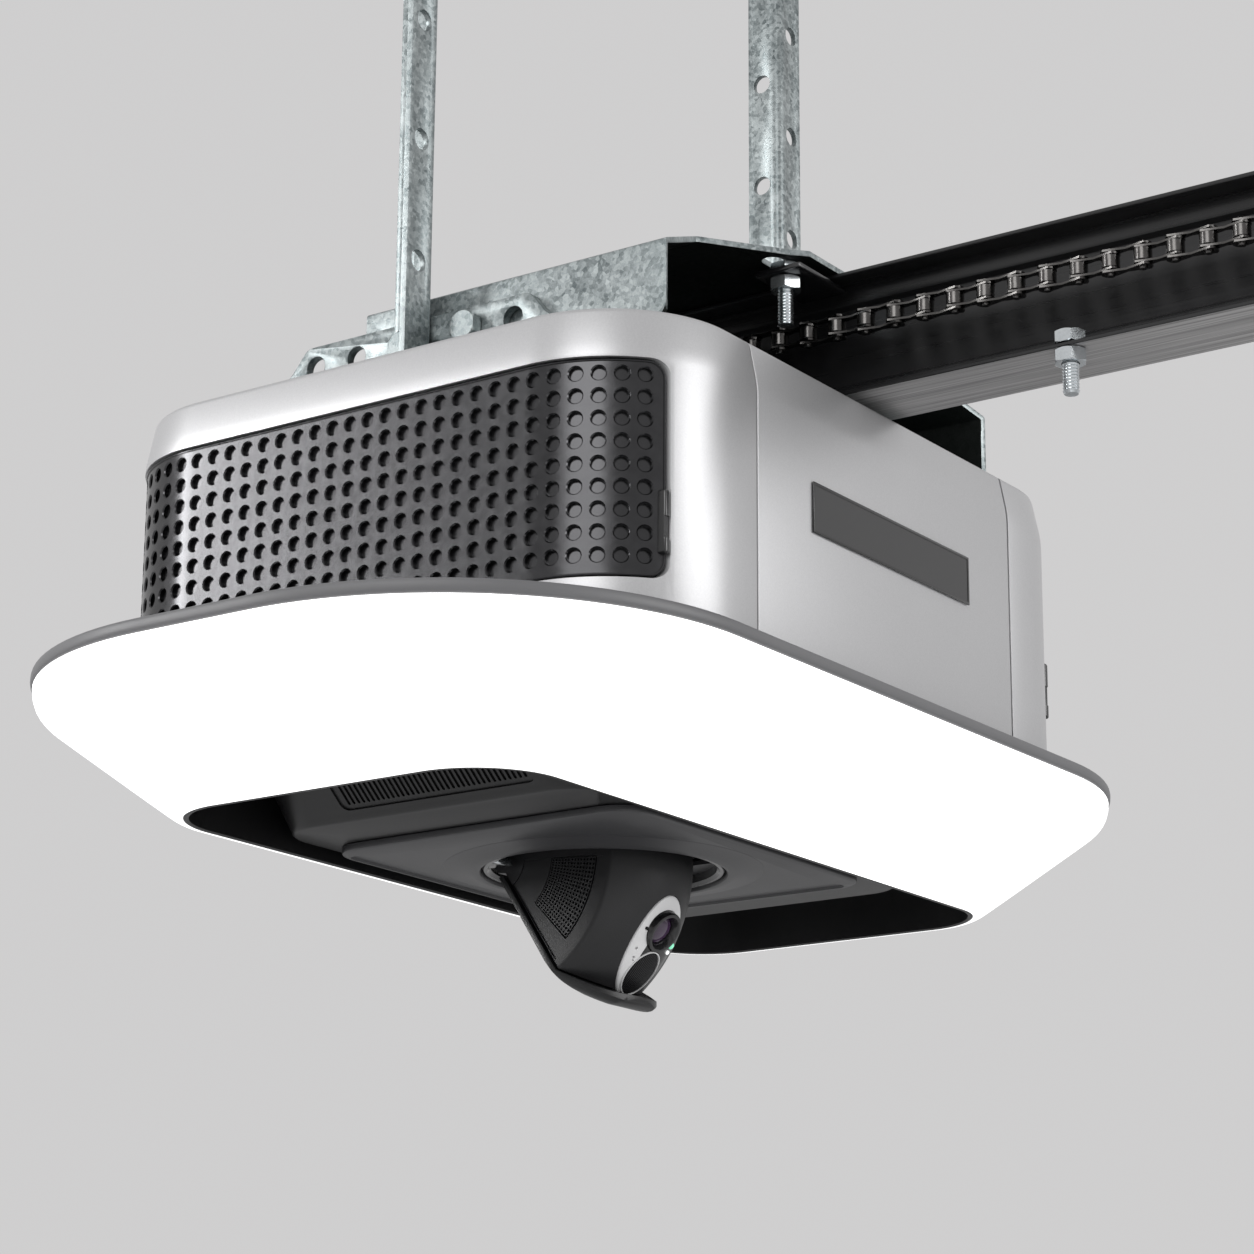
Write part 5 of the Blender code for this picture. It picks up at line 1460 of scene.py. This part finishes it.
def whole_link(name, plate_z, radius, reach, cap):
    """Two plates and two rollers or pins, joined."""
    pieces = [link_plate(z) for z in (-plate_z, plate_z)]
    pieces += [link_rod(x, radius, reach, cap) for x in (-LINK_PITCH / 2, LINK_PITCH / 2)]
    return smooth(joined(name, pieces), 40)


inner_link = whole_link("inner_link", 2.9, 3.4, 2.3, 0.15)
outer_link = whole_link("outer_link", 4.0, 1.7, 5.3, 0.4)
print("link pitch", round(LINK_PITCH, 2), "mm")

# %% Chain laid along its path


def chain_place(run):
    """The point and the heading of the chain at a distance along its path, in millimetres."""
    straight = SHAFT_Y - RAIL_FRONT
    if run < straight:
        return (-CHAIN_X, RAIL_FRONT + run), math.radians(90)
    if run < straight + math.pi * CHAIN_X:
        a = math.pi - (run - straight) / CHAIN_X
        return (CHAIN_X * math.cos(a), SHAFT_Y + CHAIN_X * math.sin(a)), a - math.pi / 2
    rest = run - straight - math.pi * CHAIN_X
    return (CHAIN_X, SHAFT_Y - rest), math.radians(-90)


links = []
for k in range(LINKS):
    (x, y), heading = chain_place((k + 0.5) * LINK_PITCH)
    link = copied(inner_link if k % 2 else outer_link, "link")
    link.data.transform(Matrix.Translation(spot(x, y, CHAIN_Z)) @ Matrix.Rotation(heading, 4, "Z"))
    links.append(link)
chain = joined("roller_chain", links)
low_edge = spot(0, RAIL_FRONT, 0).y
for vertex in chain.data.vertices:
    vertex.co.y = max(vertex.co.y, low_edge)
fitted(chain, "head", "chain_steel", CHAIN_STEEL, "drive_chain")
for spare in (inner_link, outer_link):
    bpy.data.objects.remove(spare, do_unlink=True)

# %% [markdown]
# ## Drive inside the housing
# The motor, worm gear, gear case, shaft and sprocket are hidden from the front but show when a grille is
# opened. Their CAD shapes are right, so each is copied, its edges are eased and it gets its own finish.

# %% Drive, boards and battery
for node, name, body, slot, finish in (
    ("drive_shaft", "output_shaft", "output", "bright_steel", BRIGHT_STEEL),
    ("drive_sprocket", "chain_sprocket", "output", "bright_steel", CHAIN_STEEL),
    ("worm_gear", "nylon_worm_wheel", "output", "nylon", NYLON),
    ("shaft_bearing", "shaft_bearing_tube", "head", "galvanised_steel", ZINC),
    ("gear_case", "gear_case_tub", "head", "chain_steel", CAST_GREY),
    ("motor_can", "motor_housing_can", "head", "galvanised_steel", ZINC),
    ("motor_rotor", "motor_rotor_and_worm", "motor", "bright_steel", BRIGHT_STEEL),
    ("chassis_plate", "chassis_top_plate", "head", "galvanised_steel", ZINC),
    ("power_supply", "power_supply_box", "head", "galvanised_steel", ZINC),
    ("backup_battery", "backup_battery_case", "head", "charcoal_plastic", CHARCOAL),
    ("logic_board", "control_board", "head", "circuit_board", BOARD),
):
    refined(node, name, body, slot, finish, 0.2)

# %% [markdown]
# ## Hat bracket
# A wide bracket of galvanised sheet saddles the rail and is bolted to the hanger bars. It is one bent strip:
# the skin follows the bend, a prism seen from above shears its front, and the flange corners are rounded.

# %% Hat bracket
HAT_FRONT, HAT_REAR = -119.0, 30.0
FLANGE_LOW, FLANGE_FRONT, FLANGE_CORNER = 4.5, -108.0, 9.0
BAR_BOLT, STRAP_BOLT = (-23.0, 18.5), (4.0, 15.0)

hat_right = [(72.2, 55.4), (73.0, 55.32), (73.8, 54.97), (115.2, 36.8), (115.8, 36.2), (116.0, 35.2)]
hat_right += [(116.0, 4.5), (113.8, 4.5), (113.8, 34.6), (113.4, 35.3), (73.0, 53.0), (72.4, 53.2)]
hat = prism("hat_sheet", both_sides(hat_right), 1, HAT_FRONT, HAT_REAR)
near, far = FLANGE_FRONT - FLANGE_CORNER, FLANGE_FRONT + FLANGE_CORNER
below, above = FLANGE_LOW - FLANGE_CORNER, FLANGE_LOW + FLANGE_CORNER
for side in (-1, 1):
    shear = [(side * 126, -140), (side * 126, FLANGE_FRONT), (side * 116, FLANGE_FRONT), (side * 73, -92)]
    shear += [(side * 42, -114), (side * 39.5, -116.8), (side * 37, -119), (side * 37, -140)]
    cut(hat, prism("hat_shear", shear, 2, -10, 70))
    corner = [(near, below), (far, below), (far, FLANGE_LOW)]
    corner += arc(FLANGE_CORNER, 270, 180, 16, (far, above))[1:] + [(near, above)]
    flange = span(side, 106, 126)
    cut(hat, prism("hat_corner", corner, 0, *flange))
    for centre in (BAR_BOLT, STRAP_BOLT):
        bored(hat, 0, centre, BOLT_R + BOLT_CLEAR, *flange)
for side in (-1, 1):
    cut(hat, prism("hat_slot", slot_outline(4.0, side * 35 - 6, side * 35 + 12, -105, 12), 2, 45, 65))
eased(hat, 0.3, 45, 2)
fitted(smooth(hat, 30), "head", "galvanised_steel", HAT_ZINC, "hat_bracket")

# %% [markdown]
# ## Hanger bars and straps
# The bars are short angle irons along the edges of the chassis. The straps are perforated angle irons that
# rise to the ceiling. Their holes are what one notices, so each is cut round and every edge is eased.

# %% Bars
BAR_INNER, BAR_OUTER = 116.3, 120.3
for name, side in (("left", -1), ("right", 1)):
    pairs = [(-61, 0.3), (-61, 12.0)] + arc(6, 180, 120, 6, (-55, 12.5)) + arc(7, 125, 90, 6, (-47.4, 20))
    pairs += arc(7, 90, 55, 6, (52.4, 20)) + arc(6, 60, 0, 6, (60, 12.5)) + [(66, 12.0), (66, 0.3)]
    bar = prism(f"{name}_bar", pairs, 0, *span(side, BAR_INNER, BAR_OUTER))
    low, high = span(side, BAR_OUTER - 24, BAR_OUTER)
    weld(bar, box("bar_foot", (low, -61, 0.3), (high, 66, 4.3)))
    reach = span(side, BAR_INNER - 3, BAR_OUTER + 3)
    for y in (-43.0, 31.0, 51.0):
        bored(bar, 0, (y, 18.5), 4.4, *reach, 28)
    for centre in (BAR_BOLT, STRAP_BOLT):
        bored(bar, 0, centre, BOLT_R + BOLT_CLEAR, *reach)
    eased(bar, 0.35, 45, 2)
    fitted(smooth(bar, 30), "head", "galvanised_steel", ZINC, f"{name}_hanger_bar")

# %% Straps
STRAP_FACE, STRAP_SHEET, STRAP_LEG = 120.6, 2.5, 16.5
STRAP_FRONT = -6.0
HOLE_PITCH, STRAP_HOLE = 49.0, 4.2
for name, side in (("left", -1), ("right", 1)):
    face = side * STRAP_FACE
    out, tip = face + side * STRAP_SHEET, face + side * STRAP_LEG
    inside, back = STRAP_FRONT + STRAP_SHEET, STRAP_FRONT + STRAP_LEG
    pairs = [(face + side * u, STRAP_FRONT + v) for u, v in arc(3.0, 180, 270, 6, (3.0, 3.0))]
    pairs += [(tip, STRAP_FRONT), (tip, inside), (out + side * 0.8, inside)]
    pairs += [(out, inside + 0.8), (out, back), (face, back)]
    strap = prism(f"{name}_strap_iron", pairs, 2, 4.0, STRAP_TOP)
    reach = sorted((face - side * 5, out + side * 3))
    bored(strap, 0, STRAP_BOLT, BOLT_R + BOLT_CLEAR, *reach)
    for k in range(5):
        rise_by = HOLE_PITCH * k
        bored(strap, 0, ((inside + back) / 2, 70.5 + rise_by), STRAP_HOLE, *reach, 28)
        bored(strap, 1, ((out + tip) / 2, 46.0 + rise_by), STRAP_HOLE, STRAP_FRONT - 5, inside + 5, 28)
    eased(strap, 0.3, 45, 2)
    fitted(smooth(strap, 30), "head", "galvanised_steel", ZINC, f"{name}_strap")

# %% [markdown]
# ## Bolts, nuts and clamps
# A hexagon head is a six-sided prism whose corners are cut by a cone. The shank is a lathe piece with a
# thread drawn as a row of small rings: from any normal distance it cannot be told from a helix. The nuts are
# made in the same way. Slotted jaws under the rail's flange clamp it up against the hat bracket.

# %% Hexagon bolts and nuts
HEX_FLATS, NUT_TALL = 11.0, 5.0
THREAD = 1.25


def hexagon(name, axis, centre, start, end):
    """A hexagon with the corners of both ends chamfered."""
    radius = HEX_FLATS / math.sqrt(3)
    low, high = sorted((start, end))
    body = prism(name, circle(radius, 6, centre, 30), axis, low, high)
    cone = [(radius - 0.85, low - 0.01), (radius + 0.05, low + 0.55)]
    cone += [(radius + 0.05, high - 0.55), (radius - 0.85, high + 0.01)]
    return keep(body, turned("hex_cone", axis, centre, cone, 36))


def threaded(name, axis, centre, start, end, plain):
    """A rod from start to end whose last stretch, past plain, carries a thread."""
    step = math.copysign(1, end - start)
    profile = [(BOLT_R, start), (BOLT_R, plain)]
    for k in range(int(abs(end - plain) / THREAD)):
        for radius, share in ((BOLT_R - 0.42, 0.35), (BOLT_R - 0.42, 0.5), (BOLT_R, 0.85)):
            profile.append((radius, plain + step * (k + share) * THREAD))
    profile += [(BOLT_R - 0.5, end)]
    return turned(name, axis, centre, profile, 20)


def bolt(name, axis, head_at, tip_at, centre, tall=4.8, plain=0.3):
    """A hexagon bolt whose head starts at one place and whose tip ends at another."""
    away = math.copysign(1, head_at - tip_at)
    head = hexagon(name, axis, centre, head_at, head_at + away * tall)
    shank = threaded("shank", axis, centre, head_at + away * tall * 0.5, tip_at, head_at - away * plain)
    return smooth(weld(head, shank), 30)


def nut(name, axis, start, centre):
    """A hexagon nut from its start upwards."""
    body = hexagon(name, axis, centre, start, start + NUT_TALL)
    return smooth(bored(body, axis, centre, BOLT_R + 0.3, start - 2, start + 8), 30)


def steel(piece, node, finish=BRIGHT_STEEL):
    """Fit a fastener to the head."""
    return fitted(piece, "head", "bright_steel", finish, node)


BAR_FACE, STRAP_OUT, INSIDE_FACE = 120.3, 123.1, 113.5
for side, label in ((-1, "left"), (1, "right")):
    for piece, face_x, centre in (("bar", BAR_FACE, BAR_BOLT), ("strap", STRAP_OUT, STRAP_BOLT)):
        name = f"{label}_{piece}"
        ends = side * (face_x + 0.3), side * (INSIDE_FACE - 8)
        steel(bolt(f"{name}_hex_bolt", 0, *ends, centre), f"{name}_bolt", ZINC)
        start = span(side, INSIDE_FACE - NUT_TALL, INSIDE_FACE)[0]
        steel(nut(f"{name}_hex_nut", 0, start, centre), f"{name}_nut")
steel(bolt("rail_hex_bolt", 2, 5.3, -13.6, RAIL_BOLT), "rail_bolt")
steel(nut("rail_hex_nut", 2, 3.1 - NUT_TALL, RAIL_BOLT), "rail_nut")

# %% Clamp jaws
CLAMP_X, CLAMP_Y = 35.0, -107.0
JAW_TOP, JAW_LOW = 49.8, 47.6
for side, label in ((-1, "left"), (1, "right")):
    low, high = span(side, 9.0, 42.5)
    jaw = box(f"{label}_slotted_jaw", (low, CLAMP_Y - 11, JAW_LOW), (high, CLAMP_Y + 9, JAW_TOP), 0.5)
    slot = arc(4.0, 0, 180, 12, (side * CLAMP_X, CLAMP_Y + 2))
    slot += arc(4.0, 180, 360, 12, (side * CLAMP_X, CLAMP_Y - 2))
    cut(jaw, prism("jaw_slot", slot, 2, JAW_LOW - 3, JAW_TOP + 3))
    fitted(smooth(jaw, 30), "head", "rail_black", GLOSS_BLACK, f"{label}_clamp_jaw")
    name, centre = f"{label}_clamp", (side * CLAMP_X, CLAMP_Y)
    clamp = bolt(f"{name}_hex_bolt", 2, JAW_TOP + 0.3, 28.5, centre, 52.9 - JAW_TOP - 0.3)
    steel(clamp, f"{name}_bolt")
    steel(nut(f"{name}_hex_nut", 2, JAW_LOW - 0.3 - NUT_TALL, centre), f"{name}_nut")

# %% [markdown]
# ## Badge, buttons and mains inlet
# The front carries a name plate, which stays blank here and gets only a fine raised border. The buttons at
# the back are turned knobs with a dished face. The inlet is a shrouded socket with three blades.

# %% Blank name plate
BADGE = (-55.5, 57.5, -62.3, -43.0)
BORDER = 1.1
x0, x1, z0, z1 = BADGE
badge = box("blank_name_plate", (x0, -131.6, z0), (x1, -130.8, z1), 0.25, 3)
cut(badge, box("plate_well", (x0 + BORDER, -133, z0 + BORDER), (x1 - BORDER, -131.4, z1 - BORDER)))
fitted(smooth(badge, 30), "head", "black_plastic", GLOSS_BLACK, "front_badge")

# %% Buttons and inlet
for name, x in BUTTONS:
    dish = [(4.5, 123.7), (4.5, 132.2), (4.3, 132.55), (3.9, 132.7), (3.4, 132.6)]
    dish += [(2.2, 132.3), (1.0, 132.2)]
    knob = turned(f"{name}_push_button", 1, (x, BUTTON_Z), dish, 40)
    fitted(smooth(knob, 40), f"{name}_key", "charcoal_plastic", CHARCOAL, f"{name}_button")
refined("power_inlet", "mains_inlet_shroud", "head", "black_plastic", GLOSS_BLACK, 0.4)
for k, (x, z) in enumerate(((50, -73), (60, -73), (55, -79.5))):
    blade = box(f"inlet_blade_{k}", (x - 0.8, 118.6, z - 2.6), (x + 0.8, 128.0, z + 2.6), 0.3)
    fitted(smooth(blade), "head", "bright_steel", BRIGHT_STEEL)

# %% [markdown]
# ## Floor, background and light
# The opener hangs in front of a plain pale wall. The world shows that wall to the camera and to mirror-like
# surfaces, while it lights the scene more dimly, so pale paint keeps its colour. The floor lies far below and
# only shows from other angles. Large soft lamps give the sheen on the covers, as in a studio.

# %% Floor
FLOOR_DROP, FLOOR_SIZE = 0.55, 9.0
only()
bpy.ops.mesh.primitive_plane_add(size=FLOOR_SIZE, location=(0, 0, cad_box[0][2] - FLOOR_DROP))
floor = settled(bpy.context.object)
floor.name = "studio_floor"
material, shader, place = start_finish("floor_finish", roughness=0.7)
speckle = noise(place, 3, 3.0)
speckle.plug(shader.inputs["Base Color"], speckle.mix((0.66, 0.66, 0.665), (0.7, 0.7, 0.705)))
floor.data.materials.append(material)

# %% World and lamps
world = bpy.data.worlds.new("studio_world")
bpy.context.scene.world = world
world.use_nodes = True
tree = world.node_tree
tree.nodes.clear()
wire = Wire(tree)
rays = wire.add("LightPath").socket.node.outputs
kinds = ("Is Camera Ray", "Is Transmission Ray", "Is Glossy Ray")
camera_ray, through, glossy = (Wire(tree, rays[kind]) for kind in kinds)
seen = wire.sum("MAXIMUM", wire.sum("MAXIMUM", camera_ray, through), glossy)
ambient = wire.add("Background", None, {"Color": (1.0, 1.0, 1.0), "Strength": 0.45})
wall = wire.add("Background", None, {"Color": (0.625, 0.62, 0.622), "Strength": 1.0})
blend = wire.add("MixShader", None, {0: seen, 1: ambient, 2: wall})
output = tree.nodes.new("ShaderNodeOutputWorld")
tree.links.new(blend.socket, output.inputs["Surface"])


def linked(name, data):
    """An object for a lamp or a camera, linked to the scene."""
    holder = bpy.data.objects.new(name, data)
    bpy.context.scene.collection.objects.link(holder)
    return holder


def lamp(name, place, target, size, watts):
    """A soft rectangular lamp that looks at its target, its sizes in metres."""
    light = bpy.data.lights.new(name, "AREA")
    light.shape = "RECTANGLE"
    light.size, light.size_y = size
    light.energy = watts
    holder = linked(name, light)
    holder.location = place
    holder.rotation_euler = (Vector(target) - Vector(place)).to_track_quat("-Z", "Y").to_euler()
    return holder


lamp("key_softbox", (-1.9, -0.5, 0.55), (-0.1, 0, -0.33), (1.2, 0.9), 12)
lamp("front_softbox", (0.5, -2.2, 0.2), (0, 0, -0.33), (1.5, 1.0), 20)
lamp("rear_softbox", (-1.25, 1.28, 0.08), (-0.158, 0.05, -0.34), (0.24, 0.9), 14)
lamp("low_fill", (-0.6, -0.8, -1.25), (0, 0, -0.43), (1.4, 1.0), 5)

# %% [markdown]
# ## Camera
# The camera looks up at the opener from its front left corner. Its three axes were worked out from the
# directions in which the housing's parallel edges run together.

# %% Camera
right = Vector((0.5752, -0.8180, 0.0070)).normalized()
back = Vector((-0.7855, -0.5547, -0.2743)).normalized()
matrix = Matrix((right, back.cross(right), back)).transposed().to_4x4()
matrix.translation = Vector((-1.024, -0.7333, -0.703))
camera = bpy.data.cameras.new("camera")
camera.lens = 95.34
camera.clip_end = 50
holder = linked("camera", camera)
holder.matrix_world = matrix
bpy.context.scene.camera = holder
bpy.context.scene.view_settings.view_transform = "Standard"

# %% [markdown]
# ## Last figures
# The CAD model's box and the number of finished pieces are printed.

# %% CAD box and piece count
print("CAD box   ", [[round(c, 4) for c in v] for v in cad_box])
print(len(made_pieces), "pieces")
